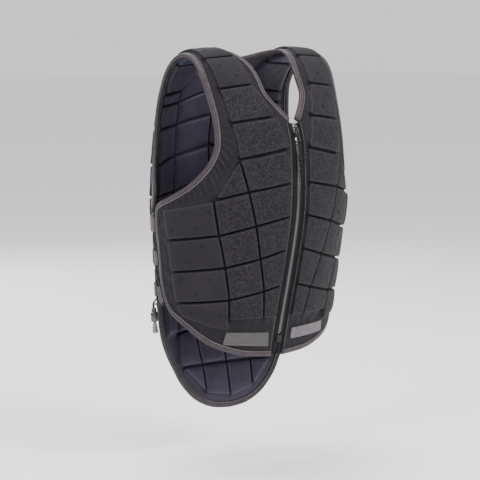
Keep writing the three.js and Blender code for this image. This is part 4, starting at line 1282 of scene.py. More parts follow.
@dataclass
class FrontZip:
    """A chunky moulded zip on two woven tapes, with its slider, link, pull and box."""

    pattern: FlatPattern
    tape_low: float = -0.965
    tape_top: float = 0.205
    chain_low: float = -0.862
    chain_top: float = 0.104
    slider_level: float = 0.145
    box_level: float = -0.885
    tooth_pitch: float = 4.8
    chain: float = 7.0
    thick: float = 4.4
    link_length: float = 17.0
    lean: float = 0.06
    pull_lean: float = 0.13

    def rail(self, low: float, high: float, step: float) -> Rail:
        """A rail up the middle of the front between two levels."""
        knots = [(0.0, v) for v in (low, low * 0.7 + high * 0.3, low * 0.35 + high * 0.65, high)]
        return Rail.over(self.pattern, [self.pattern.curve(knots, step)], MIDDLE)

    def build_tapes(self, cloth: Material) -> None:
        """Makes the two woven tapes with a cord along the teeth.

        Args:
            cloth: Their finish.
        """
        rail = self.rail(self.tape_low, self.tape_top, 5.0)
        left = np.array([(-3.2, 0.9), (-3.2, -0.9), (-4.6, -0.8), (-5.0, -0.6), (-13.4, -0.6), (-13.4, 0.6),
                         (-5.0, 0.6), (-4.6, 0.8)])
        shell = rail.sweep(left)
        dress(self.outwards(shell).mirrored().piece("zip_cloth_right", cloth), "zip_tape", "zip_tape_right")
        dress(self.outwards(shell).piece("zip_cloth_left", cloth), "zip_tape", "zip_tape_left")

    @staticmethod
    def outwards(shell: Shell) -> Shell:
        """Turns a closed shell's faces outwards.

        Args:
            shell: A closed shell whose faces all point one way.

        Returns:
            The same shell, or one with its faces turned.
        """
        a = shell.points
        volume = sum(float(np.dot(a[f[0]], np.cross(a[f[i]], a[f[i + 1]])))
                     for f in shell.faces for i in range(1, len(f) - 1))
        return shell if volume > 0 else Shell(shell.points, [f[::-1] for f in shell.faces], shell.uv, shell.marks)

    def build_chain(self, plastic: Material) -> None:
        """Models one tooth and copies it up both sides of the chain.

        Args:
            plastic: The teeth's finish.
        """
        wide, pitch, thick = self.chain, self.tooth_pitch, self.thick
        tooth = Bench.block((wide * 0.66, pitch * 0.42, thick * 0.9), (-wide * 0.17, 0, 0), 0.5, segments=2)
        head = Bench.block((wide * 0.26, pitch * 0.52, thick * 0.8), (wide * 0.06, 0, 0), 0.55, segments=2)
        foot = Bench.block((wide * 0.24, pitch * 0.66, thick), (-wide * 0.4, 0, 0), 0.6, segments=2)
        one = Bench.joined("tooth", [tooth, head, foot], Matrix.Identity(4), plastic)
        points = np.array([v.co for v in one.data.vertices]) / MM
        faces = [tuple(f.vertices) for f in one.data.polygons]
        rail = self.rail(self.chain_low, self.chain_top, self.tooth_pitch / 2)
        every, all_faces = [], []
        closed = [(rail, i, 1 if i % 2 else -1, 0.0) for i in range(1, len(rail.points) - 1)]
        top = self.rail(self.slider_level + 0.02, self.tape_top - 0.008, self.tooth_pitch)
        apart = [(top, i, side, 1.0) for i in range(len(top.points)) for side in (1, -1)]
        for track, i, side, gap in closed + apart:
            along = np.gradient(track.points, axis=0)[i]
            along /= np.linalg.norm(along)
            place = (track.points[i] + (points[:, :1] - gap) * side * track.asides[i] + points[:, 1:2] * side * along
                     + points[:, 2:] * track.normals[i])
            all_faces += [tuple(k + len(points) * len(every) for k in f) for f in faces]
            every.append(place)
        bpy.data.objects.remove(one)
        chain = Shell(np.vstack(every), all_faces).piece("zip_teeth", plastic)
        Bench.clear()
        chain.select_set(True)
        bpy.context.view_layer.objects.active = chain
        bpy.ops.object.shade_smooth_by_angle(angle=math.radians(40))
        dress(chain, "zip_plastic", "zip_chain")

    def build_slider(self, metal: Material, plastic: Material) -> None:
        """Makes the slider, its link, the pull and the box at the bottom.

        Args:
            metal: Finish of the slider and link.
            plastic: Finish of the pull and box.
        """
        place = frame_on(self.pattern, 0, self.slider_level, MIDDLE)
        plates = [Bench.block((12.0, 16.6, 2.2), (0, 0, z), 0.9, taper=0.74) for z in (3.05, -3.05)]
        wings = [Bench.block((1.6, 13.5, 2.2), (x, 0.8, z), 0.5, taper=1.0) for x in (-5.2, 5.2) for z in (1.7, -1.7)]
        post = Bench.block((4.2, 6.0, 7.4), (0, 5.0, 0), 0.5)
        bridge = Bench.ring(3.6, 0.95, (0, 0, 4.4), turned=(0, math.pi / 2, 0))
        dress(Bench.joined("zip_runner", [*plates, *wings, post, bridge], place, metal), "zip_metal", "zip_slider")
        eye = 4.2 + 5 - 1.7 - 1.2
        hang = place @ Matrix.Translation((0, 0, eye * MM)) @ Matrix.Rotation(self.lean, 4, "X")
        link = Bench.ring(3.25, 0.78, (0, -3.25, 0), stretch=self.link_length - 6.5)
        dress(Bench.joined("zip_wire_link", [link], hang, metal), "zip_metal", "zip_link")
        foot = (hang @ Matrix.Translation((0, -self.link_length * MM, 0))
                @ Matrix.Rotation(self.pull_lean - self.lean, 4, "X"))
        tab = Bench.block((6.8, 52.0, 2.3), (0, -30.8, 0), 0.8, taper=0.84)
        collar = Bench.ring(2.3, 0.95, (0, -1.2, 0), turned=(0, math.pi / 2, 0), stretch=2.2)
        ribs = [Bench.block((4.6, 1.1, 0.8), (0, -30.0 - 2.6 * k, 1.35 * side), 0.3, segments=2) for k in range(9)
                for side in (1, -1)]
        dress(Bench.joined("zip_grip", [tab, collar, *ribs], foot, plastic), "zip_plastic", "zip_pull")
        low = frame_on(self.pattern, 0, self.box_level, MIDDLE)
        box = Bench.block((10.8, 13.6, 6.3), (0, 0, 0), 1.2)
        lip = Bench.block((8.6, 3.0, 7.0), (0, -3.4, 0), 0.7)
        pin = Bench.block((1.6, 9.0, 6.9), (-2.6, 1.4, 0), 0.5)
        dress(Bench.joined("zip_foot", [box, lip, pin], low, plastic), "zip_plastic", "zip_box")


def catmull(route: Array, step: float) -> Array:
    """Runs a smooth centripetal curve through points.

    Args:
        route: The points, in order.
        step: Distance between the points that are given back.

    Returns:
        Evenly spaced points.
    """
    ends = np.vstack([2 * route[0] - route[1], route, 2 * route[-1] - route[-2]])
    line = []
    for i in range(len(route) - 1):
        p = ends[i:i + 4]
        gaps = np.maximum(np.linalg.norm(np.diff(p, axis=0), axis=1) ** 0.5, 1e-4)
        t1 = ((p[1] - p[0]) / gaps[0] - (p[2] - p[0]) / (gaps[0] + gaps[1]) + (p[2] - p[1]) / gaps[1]) * gaps[1]
        t2 = ((p[2] - p[1]) / gaps[1] - (p[3] - p[1]) / (gaps[1] + gaps[2]) + (p[3] - p[2]) / gaps[2]) * gaps[1]
        for w in np.linspace(0, 1, 24, endpoint=False):
            line.append(p[1] + t1 * w + (-3 * p[1] + 3 * p[2] - 2 * t1 - t2) * w * w
                        + (2 * p[1] - 2 * p[2] + t1 + t2) * w ** 3)
    line.append(route[-1])
    return spaced(np.array(line), step)


@dataclass
class SideLacing:
    """Webbing loops down both side edges with an elastic lace, its lock and its bell-shaped end."""

    vest: Vest
    levels: Triple = (-0.325, -0.488, -0.65)
    lock_level: float = -0.765
    lock_angle: float = 113.0
    lock_height: float = 22.0
    reach: float = 13.0
    length: float = 24.0
    thick: float = 7.6
    web: float = 1.5
    lace: float = 3.0
    foot: float = 10.9
    lock_top: float = 12.6

    def point_at(self, table: dict[str, Rows], level: float) -> Array:
        """Finds where a side edge stands at a level.

        Args:
            table: The panel's edge tables.
            level: The level.

        Returns:
            Angle and level.
        """
        pattern = self.vest.pattern
        line = pattern.place(pattern.curve(table["side"], 0.8))
        order = np.argsort(line[:, 1])
        near = line[order]
        keep = near[:, 1] < -0.27
        return np.array([np.interp(level, near[keep, 1], near[keep, 0]), level])

    def build_loops(self, webbing: Material) -> None:
        """Makes the twelve folded loops.

        Args:
            webbing: Their finish.
        """
        half, web = self.thick / 2, self.web
        out, inner = self.foot + self.reach, self.foot + self.reach - web
        bow = [(out - half + half * math.cos(a), half * math.sin(a)) for a in np.linspace(math.pi / 2, -math.pi / 2, 9)]
        hollow = half - web
        back = [(inner - hollow + hollow * math.cos(a), hollow * math.sin(a))
                for a in np.linspace(-math.pi / 2, math.pi / 2, 9)]
        section = np.array([(self.foot - 1.4, half), *bow, (self.foot - 1.4, -half), (self.foot - 1.4, -hollow), *back,
                            (self.foot - 1.4, hollow)])
        pattern = self.vest.pattern
        for panel, table, up in (("front", self.vest.front_edge, True), ("back", self.vest.back_edge, False)):
            for i, level in enumerate(self.levels):
                reach = self.length / 2 / pattern.form.front_drop
                places = np.array([self.point_at(table, v) for v in np.linspace(level - reach, level + reach, 13)])
                flat = pattern.lay(places if up else places[::-1])
                shell = FrontZip.outwards(Rail.over(pattern, [flat], MIDDLE).sweep(section))
                for side, made in (("left", shell), ("right", shell.mirrored())):
                    node = f"side_loop_{panel}_{side}_{i + 1}"
                    dress(made.piece(node.replace("side_loop", "webbing"), webbing), "loop_webbing", node)

    def beside(self, rear: bool, level: float) -> tuple[Array, Array]:
        """Finds the middle of the loops' hollow beside a side edge.

        Args:
            rear: Whether the edge is the back panel's.
            level: The level.

        Returns:
            The point and the form's normal there.
        """
        pattern, aside = self.vest.pattern, self.foot + (self.reach - self.web) / 2
        table, way = (self.vest.back_edge, -1) if rear else (self.vest.front_edge, 1)
        here = self.point_at(table, level)
        ends = [self.point_at(table, level + s) for s in (-0.01, 0.01)]
        p, q = (pattern.on_form(pattern.lay(e[None]), MIDDLE)[0] for e in ends)
        normal = pattern.form.normal(here[:1], here[1:])[0]
        out = np.cross(q - p, normal)
        return (p + q) / 2 + out / np.linalg.norm(out) * way * aside, normal

    def through(self, rear: bool, level: float, up: bool) -> list[Array]:
        """Runs a strand through a loop.

        Args:
            rear: Whether the loop is on the back panel.
            level: The loop's level.
            up: Whether the strand runs upwards.

        Returns:
            Three points.
        """
        steps = (-self.hold, 0, self.hold) if up else (self.hold, 0, -self.hold)
        return [self.beside(rear, level + s)[0] for s in steps]

    def between(self, front_level: float, rear_level: float, lift: float) -> Array:
        """Finds the point where a strand crosses from one panel to the other.

        Args:
            front_level: Level on the front panel's edge.
            rear_level: Level on the back panel's edge.
            lift: How far the strand stands out from the straight way.

        Returns:
            The point.
        """
        (p, m), (q, n) = self.beside(False, front_level), self.beside(True, rear_level)
        out = (m + n) / np.linalg.norm(m + n)
        return (p + q) / 2 + out * lift

    def lock_end(self, side: int) -> list[Array]:
        """Runs a strand out of the lock.

        Args:
            side: 1 or -1, for the strand's side of the lock.

        Returns:
            Two points above the lock.
        """
        lock = np.array(frame_on(self.vest.pattern, self.lock_angle, self.lock_level, self.lock_height))
        return [lock[:3, 3] / MM + lock[:3, 0] * side * self.apart + lock[:3, 1] * y
                for y in (self.lock_top, self.lock_top + 6)]

    @property
    def hold(self) -> float:
        """Half the height of a loop and a little more, as a difference of levels."""
        return (self.length / 2 + 2) / self.vest.pattern.form.front_drop

    @property
    def apart(self) -> float:
        """Half the distance between the middles of two strands that pass each other."""
        return self.lace / 2 + 0.6

    def route(self) -> Array:
        """Leads the left lace from the lock up through the loops, across the top and down again.

        Returns:
            Points along the lace.
        """
        top, mid, low = self.levels
        over = top + 1.2 * self.hold
        route = [*self.lock_end(-1), *self.through(False, low, True), self.between(low, mid, self.apart),
                 *self.through(True, mid, True), self.between(mid, top, -self.apart),
                 *self.through(False, top, True), self.between(over, over, 0),
                 *self.through(True, top, False), self.between(mid, top, self.apart),
                 *self.through(False, mid, False), self.between(low, mid, -self.apart),
                 *self.through(True, low, False), *self.lock_end(1)[::-1]]
        return catmull(np.array(route), 1.6)

    def tube(self, line: Array, radius: float, sides: int = 10) -> Shell:
        """Makes a round cord along a line, with UV along and round it.

        Args:
            line: The cord's middle line.
            radius: Its radius.
            sides: Facets round it.

        Returns:
            The closed cord.
        """
        along = unit(np.gradient(line, axis=0))
        side = np.zeros_like(line)
        side[0] = np.cross(along[0], (0, 0, 1.0))
        for i in range(1, len(line)):
            side[i] = side[i - 1] - along[i] * (side[i - 1] @ along[i])
        side = unit(side)
        other = np.cross(along, side)
        turn = np.linspace(0, 2 * np.pi, sides, endpoint=False)
        c, s = np.cos(turn)[None, :, None], np.sin(turn)[None, :, None]
        points = line[:, None] + radius * (side[:, None] * c + other[:, None] * s)
        faces = [(i * sides + j, i * sides + (j + 1) % sides, (i + 1) * sides + (j + 1) % sides, (i + 1) * sides + j)
                 for i in range(len(line) - 1) for j in range(sides)]
        faces += [tuple(reversed(range(sides))), tuple((len(line) - 1) * sides + j for j in range(sides))]
        uv = np.stack(np.broadcast_arrays(travelled(line)[:, None], turn[None] * radius), -1).reshape(-1, 2) * MM
        return FrontZip.outwards(Shell(points.reshape(-1, 3), faces, uv))

    def build_laces(self, cord: Material) -> None:
        """Makes the two elastic laces and says how long they are.

        Args:
            cord: Their finish.
        """
        route = self.route()
        length = float(np.linalg.norm(np.diff(route, axis=0), axis=1).sum()) * MM
        shell = self.tube(route, self.lace / 2)
        for side, mirror, made in (("left", 1, shell), ("right", -1, shell.mirrored())):
            piece = made.piece(f"elastic_{side}", cord)
            dress(piece, "lace", f"side_lace_{side}")
            LOG.info("%s: %.3f m", piece.name, length)

    def build_locks(self, shell: Material, bell: Material) -> None:
        """Makes the cord locks and the ribbed ends.

        Args:
            shell: The locks' finish.
            bell: The ends' finish.
        """
        for side, mirror in (("left", 1), ("right", -1)):
            place = frame_on(self.vest.pattern, mirror * self.lock_angle, self.lock_level, self.lock_height)
            body = Bench.turned([(0, -12), (4.6, -12), (5.9, -11), (6.4, -9), (6.4, 2.5), (6.0, 4.2), (4.9, 4.8),
                                 (0, 4.8)], 28)
            button = Bench.turned([(0, 4.4), (4.3, 4.4), (4.3, 10.4), (3.9, 11.5), (2.9, 12), (0, 12)], 28)
            spring = Bench.ring(6.35, 0.5, (0, 0, 0), turned=(math.pi / 2, 0, 0))
            dress(Bench.joined(f"cord_lock_shell_{side}", [body, button, spring], place, shell), "lock_plastic",
                  f"cord_lock_{side}")
            rings = [(0, -31.3), (3.6, -31.3), (4.5, -30.6)]
            for k in range(5):
                y, rib, waist = -29.9 + 2.9 * k, 5.2 - 0.25 * k, 4.5 - 0.25 * k
                rings += [(rib, y), (rib, y + 1.7), (waist, y + 2.1), (waist, y + 2.6)]
            rings += [(2.4, -14.6), (2.0, -12.2), (0, -12.2)]
            end = Bench.turned(rings, 28)
            dress(Bench.joined(f"cord_bell_{side}", [end], place, bell), "lock_plastic", f"cord_end_{side}")


@dataclass
class Labels:
    """Two plain patches sewn on the flat front margin."""

    RUBBER = [(-42.6, -0.895), (-7.6, -0.919), (-9.1, -0.847), (-40.4, -0.833)]
    WOVEN = [(9.6, -0.894), (43, -0.882), (42, -0.828), (9.2, -0.838)]

    pattern: FlatPattern
    low: float = 12.1
    thick: float = 2.1
    corner: float = 3.0

    def patch(self, corners: Rows, raised: float, rim: float) -> Shell:
        """A patch with rounded corners and a rim.

        Args:
            corners: Angle and level of its four corners, anticlockwise from outside.
            raised: How far the rim stands over the field.
            rim: Width of the rim.

        Returns:
            The closed patch.
        """
        flat = self.pattern.lay(np.array(corners, float))
        tile = Tile(flat, Weave.FINE, across=0.0, upright=0.0, rounding=self.corner)
        insets = [0.0, 0.35, rim, rim + 0.35]
        lifts = [self.thick - 0.4, self.thick, self.thick, self.thick - raised]
        loops = [tile.ring(d, 2.5) for d in insets if d < self.corner]
        lifts = lifts[:len(loops)]
        grid = lattice(flat, 3.0)
        grid = grid[tile.depth(grid) > insets[len(loops) - 1] + 0.8]
        points, lines = chained(loops)
        flat_points, faces, edge = meshed(np.vstack([points, grid]), lines)
        d = tile.depth(flat_points)
        lift = np.interp(d, insets[:len(loops)], lifts)
        top = self.pattern.on_form(flat_points, self.low + lift)
        bottom = self.pattern.on_form(flat_points, self.low)
        count = len(flat_points)
        n = len(loops[0])
        every = faces + [tuple(count + i for i in reversed(f)) for f in faces]
        every += [(edge[(i + 1) % n], edge[i], count + edge[i], count + edge[(i + 1) % n]) for i in range(n)]
        return Shell(np.vstack([top, bottom]), every, np.vstack([flat_points, flat_points]) * MM)

    def build(self, rubber: Material, woven: Material, thread: Material) -> None:
        """Makes both patches, each with a sewn border of thread.

        Args:
            rubber: Finish of the wearer's right patch.
            woven: Finish of the wearer's left patch.
            thread: Finish of the stitches.
        """
        right = self.patch(self.RUBBER, 0.5, 1.3)
        dress(right.piece("rubber_label", rubber), "rubber_label", "rubber_patch")
        left = self.patch(self.WOVEN, 0.25, 1.0)
        dress(left.piece("woven_label", woven), "woven_label", "woven_patch")
        for name, corners, lift in (("rubber", self.RUBBER, 0.25), ("woven", self.WOVEN, 0.1)):
            tile = Tile(self.pattern.lay(np.array(corners, float)), Weave.FINE, across=4.4, upright=4.4, rounding=1.2)
            ring = tile.ring(0.0, 2.5)
            rail = Rail.over(self.pattern, [np.vstack([ring, ring[:1]])], self.low + self.thick + lift - 0.5)
            dress(rail.dashes(0.0, 0.0, 3.4, (2.3, 0.8, 0.7)).piece(f"{name}_label_stitches", thread), f"{name}_label")


# ---------------------------------------------------------------- finishes

def linear(colour: str) -> Colour:
    """Turns an sRGB hex colour linear."""
    parts = [int(colour[i:i + 2], 16) / 255 for i in (1, 3, 5)]
    return (*[c / 12.92 if c <= 0.04045 else ((c + 0.055) / 1.055) ** 2.4 for c in parts], 1.0)


def node(tree: NodeTree, kind: str, links: dict | None = None, **settings: str) -> Node:
    """Adds a node with its settings and links.

    Args:
        tree: The material's node tree.
        kind: The node's type.
        links: A value, or an output socket to join, for each input by its name or number.
        settings: The node's own properties.

    Returns:
        The new node.
    """
    made = tree.nodes.new(kind)
    for key, value in settings.items():
        setattr(made, key, value)
    for key, value in (links or {}).items():
        socket = made.inputs[key]
        if isinstance(value, NodeSocket):
            tree.links.new(value, socket)
        else:
            socket.default_value = value
    return made


def times(tree: NodeTree, a: NodeSocket, b: NodeSocket | float) -> NodeSocket:
    """Multiplies two values."""
    return node(tree, "ShaderNodeMath", {0: a, 1: b}, operation="MULTIPLY").outputs[0]


def ranged(tree: NodeTree, value: NodeSocket, *ends: float) -> NodeSocket:
    """Maps a value from a range, the first two ends, to another range, the last two."""
    return node(tree, "ShaderNodeMapRange", {0: value, **{i + 1: end for i, end in enumerate(ends)}}).outputs[0]


def blended(tree: NodeTree, share: NodeSocket, low: Colour | NodeSocket, high: Colour) -> NodeSocket:
    """Blends from one colour to another."""
    return node(tree, "ShaderNodeMix", {0: share, 6: low, 7: high}, data_type="RGBA").outputs[2]


def noise(tree: NodeTree, where: NodeSocket, scale: float, detail: float) -> NodeSocket:
    """Adds a soft noise."""
    return node(tree, "ShaderNodeTexNoise", {"Vector": where, "Scale": scale, "Detail": detail}).outputs[0]


@dataclass(frozen=True)
class Finish:
    """What every finish has: a name, and the shader's plain values."""

    name: str
    roughness: float = 0.6
    sheen: float = 0.0
    sheen_tint: str = "#ffffff"
    coat: float = 0.0
    specular: float = 0.5

    def start(self) -> tuple[Material, NodeTree, Node]:
        """Makes the material with its shader set.

        Returns:
            The material, its tree and its shader.
        """
        material = bpy.data.materials.new(self.name)
        material.use_nodes = True
        tree = material.node_tree
        shader = tree.nodes["Principled BSDF"]
        values = {"Roughness": self.roughness, "Sheen Weight": self.sheen, "Sheen Tint": linear(self.sheen_tint),
                  "Sheen Roughness": 0.4, "Coat Weight": self.coat, "Coat Roughness": 0.15,
                  "Specular IOR Level": self.specular}
        for key, value in values.items():
            shader.inputs[key].default_value = value
        return material, tree, shader

    @staticmethod
    def cover(shader: Node, colour: NodeSocket, height: NodeSocket, strength: float, depth: float) -> None:
        """Gives a shader its colour and a fine relief.

        Args:
            shader: The shader.
            colour: Its colour.
            height: The relief from 0 to 1.
            strength: How much of the relief shows.
            depth: Millimetres from its lowest to its highest spot.
        """
        links = shader.id_data.links
        bump = node(shader.id_data, "ShaderNodeBump", {"Height": height, "Strength": strength, "Distance": depth * MM})
        links.new(colour, shader.inputs["Base Color"])
        links.new(bump.outputs[0], shader.inputs["Normal"])


@dataclass(frozen=True)
class SpacerMesh(Finish):
    """Polyester spacer mesh: a knit of round cells, dark inside, whose yarn glints here and there."""

    dark: str = "#080609"
    light: str = "#2f2b31"
    cell: float = 2.1
    fine_cell: float = 1.3

    def cells(self, tree: NodeTree, where: NodeSocket, size: float) -> tuple[NodeSocket, NodeSocket]:
        """Adds one knit of cells.

        Args:
            tree: The material's node tree.
            where: The coordinates.
            size: Millimetres from cell to cell.

        Returns:
            The yarn round the cells from 0 to 1, and a chance value for each cell.
        """
        knit = node(tree, "ShaderNodeTexVoronoi", {"Vector": where, "Scale": 1 / (size * MM), "Randomness": 0.5},
                    voronoi_dimensions="2D")
        yarn = ranged(tree, knit.outputs["Distance"], 0.22, 0.62, 0.0, 1.0)
        return yarn, node(tree, "ShaderNodeSeparateColor", {0: knit.outputs["Color"]}).outputs[0]

    def build(self) -> Material:
        """Makes the mesh's material.

        Returns:
            The material.
        """
        material, tree, shader = self.start()
        where = node(tree, "ShaderNodeTexCoord").outputs["Object"]
        mark = {n: node(tree, "ShaderNodeAttribute", attribute_name=n).outputs["Fac"]
                for n in ("recess_shade", "hole", "weave", "rim")}
        cloth_uv = node(tree, "ShaderNodeUVMap", uv_map="cloth").outputs[0]
        yarn, chance = self.cells(tree, cloth_uv, self.cell)
        fine_yarn, fine_chance = self.cells(tree, cloth_uv, self.fine_cell)
        glint = ranged(tree, chance, 0.3, 1.0, 0.28, 1.5)
        fine_glint = ranged(tree, fine_chance, 0.0, 1.0, 0.62, 1.0)
        bright = times(tree, yarn, glint)
        fine_bright = times(tree, fine_yarn, fine_glint)
        blend = node(tree, "ShaderNodeMix", {0: mark["weave"], 2: fine_bright, 3: bright}).outputs[0]
        cloud = noise(tree, where, 28.0, 2.0)
        uneven = ranged(tree, cloud, 0.3, 0.7, 0.82, 1.18)
        level = times(tree, blend, uneven)
        # painted highlight along the tiles' shoulders and the crests of the folds, over the knit's tone
        level_and_highlight = node(tree, "ShaderNodeMath", {0: mark["rim"], 1: 0.5, 2: level}, operation="MULTIPLY_ADD").outputs[0]
        cloth = blended(tree, level_and_highlight, linear(self.dark), linear(self.light))
        # painted shade: the punched holes and the recess marks blend the cloth towards near black
        punched = times(tree, mark["hole"], 0.75)
        deep = node(tree, "ShaderNodeMath", {0: mark["recess_shade"], 1: punched}, operation="MAXIMUM").outputs[0]
        depth = times(tree, deep, 0.7)
        colour = blended(tree, depth, cloth, linear("#060607"))
        height = node(tree, "ShaderNodeMix", {0: mark["weave"], 2: fine_yarn, 3: yarn}).outputs[0]
        self.cover(shader, colour, height, 0.6, 0.5)
        return material


@dataclass(frozen=True)
class LiningKnit(Finish):
    """Brushed polyester tricot laminated to foam: dense and smooth, with a cool sheen and a faint lengthwise knit."""

    dark: str = "#131018"
    light: str = "#342f42"

    def build(self) -> Material:
        """Makes the lining's material.

        Returns:
            The material.
        """
        material, tree, shader = self.start()
        where = node(tree, "ShaderNodeTexCoord").outputs["Object"]
        recess_shade = node(tree, "ShaderNodeAttribute", attribute_name="recess_shade").outputs["Fac"]
        rim = node(tree, "ShaderNodeAttribute", attribute_name="rim").outputs["Fac"]
        knit = node(tree, "ShaderNodeTexVoronoi", {"Vector": where, "Scale": 1 / (1.1 * MM)})
        cloud = noise(tree, where, 45.0, 3.0)
        level = ranged(tree, cloud, 0.25, 0.75, 0.35, 0.65)
        # painted highlight along the tiles' shoulders and the crests of the folds, over the cloth's tone
        level_and_highlight = node(tree, "ShaderNodeMath", {0: rim, 1: 0.3, 2: level}, operation="MULTIPLY_ADD").outputs[0]
        cloth = blended(tree, level_and_highlight, linear(self.dark), linear(self.light))
        # painted shade in the grooves and between the folds, towards near black
        depth = times(tree, recess_shade, 0.85)
        colour = blended(tree, depth, cloth, linear("#08080b"))
        self.cover(shader, colour, knit.outputs["Distance"], 0.2, 0.2)
        return material


@dataclass(frozen=True)
class Ribbed(Finish):
    """Woven narrow fabric with ribs across it, such as grosgrain tape, webbing or zip tape."""

    dark: str = "#161216"
    light: str = "#3f353c"
    rib: float = 1.6
    depth: float = 0.35
    line: float = 3.1
    lines: float = 0.0

    def build(self) -> Material:
        """Makes the ribbed cloth's material, with its ribs across the piece's length.

        Returns:
            The material.
        """
        material, tree, shader = self.start()
        uv = node(tree, "ShaderNodeUVMap", uv_map="cloth").outputs[0]
        where = node(tree, "ShaderNodeTexCoord").outputs["Object"]
        waves = 1 / (self.rib * MM) * 2 * math.pi / 20
        rib = node(tree, "ShaderNodeTexWave", {"Vector": uv, "Scale": waves, "Distortion": 0.0}, bands_direction="X",
                   wave_profile="SIN").outputs["Fac"]
        fuzz, cloud = noise(tree, where, 700.0, 2.0), noise(tree, where, 60.0, 2.0)
        mixed = node(tree, "ShaderNodeMath", {0: rib, 1: 0.4, 2: fuzz}, operation="MULTIPLY_ADD").outputs[0]
        level = ranged(tree, mixed, 0.35, 1.0, 0.1, 0.9)
        run = node(tree, "ShaderNodeTexWave", {"Vector": uv, "Scale": 1 / (self.line * MM) * 2 * math.pi / 20},
                   bands_direction="Y", wave_profile="SIN").outputs["Fac"]
        streak = ranged(tree, run, 0.0, 1.0, 1 - self.lines, 1 + self.lines)
        woven = times(tree, level, streak)
        soft = times(tree, cloud, woven)
        both = times(tree, soft, 1.9)
        colour = blended(tree, both, linear(self.dark), linear(self.light))
        self.cover(shader, colour, rib, 0.7, self.depth)
        return material


@dataclass(frozen=True)
class Moulded(Finish):
    """Moulded or painted hard pieces and rubber: nearly even colour with a faint mould grain."""

    colour: str = "#0b0b0c"
    shade: str = "#161618"
    grain: float = 0.6
    depth: float = 0.02

    def build(self) -> Material:
        """Makes the moulded material.

        Returns:
            The material.
        """
        material, tree, shader = self.start()
        where = node(tree, "ShaderNodeTexCoord").outputs["Object"]
        cloud = noise(tree, where, 160.0, 3.0)
        level = ranged(tree, cloud, 0.3, 0.7, 0.0, 1.0)
        colour = blended(tree, level, linear(self.colour), linear(self.shade))
        self.cover(shader, colour, noise(tree, where, 1 / (self.grain * MM), 1.0), 0.3, self.depth)
        rough = ranged(tree, cloud, 0.3, 0.7, self.roughness * 0.85, self.roughness * 1.15)
        tree.links.new(rough, shader.inputs["Roughness"])
        return material


# ---------------------------------------------------------------- studio

@dataclass(frozen=True)
class Studio:
    """The camera at the photograph's angle, a pale floor and soft lights."""

    aim: Triple = (-0.021, 0.0, -0.318)
    azimuth: float = -41.2
    elevation: float = 5.7
    distance: float = 3.87
    lens: float = 167.0
    floor: float = -0.70

    def camera(self) -> None:
        """Sets up the camera."""
        a, e = math.radians(self.azimuth), math.radians(self.elevation)
        back = Vector((math.sin(a) * math.cos(e), -math.cos(a) * math.cos(e), math.sin(e)))
        data = bpy.data.cameras.new("camera")
        data.lens, data.sensor_width = self.lens, 36.0
        camera = bpy.data.objects.new("camera", data)
        camera.location = Vector(self.aim) + back * self.distance
        camera.rotation_euler = (-back).to_track_quat("-Z", "Y").to_euler()
        bpy.context.scene.collection.objects.link(camera)
        bpy.context.scene.camera = camera

    def lamp(self, name: str, spot: Triple, size: float, power: float) -> None:
        """A soft square lamp that faces the vest.

        Args:
            name: The lamp's name.
            spot: Its place.
            size: Its side in metres.
            power: Its power in watts.
        """
        data = bpy.data.lights.new(name, "AREA")
        data.shape, data.size, data.energy = "SQUARE", size, power
        lamp = bpy.data.objects.new(name, data)
        lamp.location = spot
        lamp.rotation_euler = (Vector(spot) - Vector(self.aim)).to_track_quat("Z", "Y").to_euler()
        bpy.context.scene.collection.objects.link(lamp)

    def light(self) -> None:
        """Lights the vest softly from the front, one side, above and behind."""
        self.lamp("key", (0.7, -2.9, 1.7), 1.1, 120)
        self.lamp("fill", (-3.1, -0.5, 1.1), 1.4, 70)
        self.lamp("top", (0.1, 0.5, 2.4), 1.4, 70)
        self.lamp("rear", (0.9, 3.0, 0.9), 1.2, 45)
        world = bpy.data.worlds.new("studio")
        bpy.context.scene.world = world
        world.use_nodes = True
        glow = world.node_tree.nodes["Background"].inputs
        glow[0].default_value, glow[1].default_value = (1, 1, 1, 1), 1.0

    def ground(self) -> None:
        """Lays a plain pale floor."""
        bpy.ops.mesh.primitive_plane_add(size=40, location=(0, 0, self.floor))
        floor = bpy.context.active_object
        floor.name = "floor"
        pale = bpy.data.materials.new("pale_floor")
        pale.use_nodes = True
        shader = pale.node_tree.nodes["Principled BSDF"]
        shader.inputs["Base Color"].default_value = linear("#f6f6f6")
        shader.inputs["Roughness"].default_value = 0.9
        floor.data.materials.append(pale)


# ---------------------------------------------------------------- the whole vest

def build_panels(vest: Vest, cover: Material, lining: Material) -> None:
    """Makes the outer cover and the lining of each of the three panels.

    Args:
        vest: The flat drawing.
        cover: The outer mesh.
        lining: The lining cloth.
    """
    front, back = vest.front_lines(), vest.back_lines()
    outline = np.vstack([line[:-1] for line in front.values()])
    tiles = vest.front_tiles()
    left = Panel(vest.pattern, "front_left", outline, tiles, [front["armhole"]], vest.front_holes(), 11)
    outer, inner = left.shell(OUTER_RELIEF), left.shell(LINING_RELIEF)
    rear_outline = np.vstack([line[:-1] for line in back.values()])
    rear_tiles = vest.back_tiles()
    rear = Panel(vest.pattern, "back", rear_outline, rear_tiles, [back["armhole_left"], back["armhole_right"]],
                 vest.holes(rear_tiles), 23)
    shells = {"front_left": (outer, inner), "front_right": (outer.mirrored(), inner.mirrored()),
              "back": (rear.shell(OUTER_RELIEF), rear.shell(LINING_RELIEF))}
    for name, (outside, inside) in shells.items():
        for shell, part, finish, slot in ((outside, "cover", cover, "outer_fabric"),
                                          (inside, "lining", lining, "lining_fabric")):
            piece = shell.piece(f"{name}_{part}", finish)
            dress(piece, slot, name)


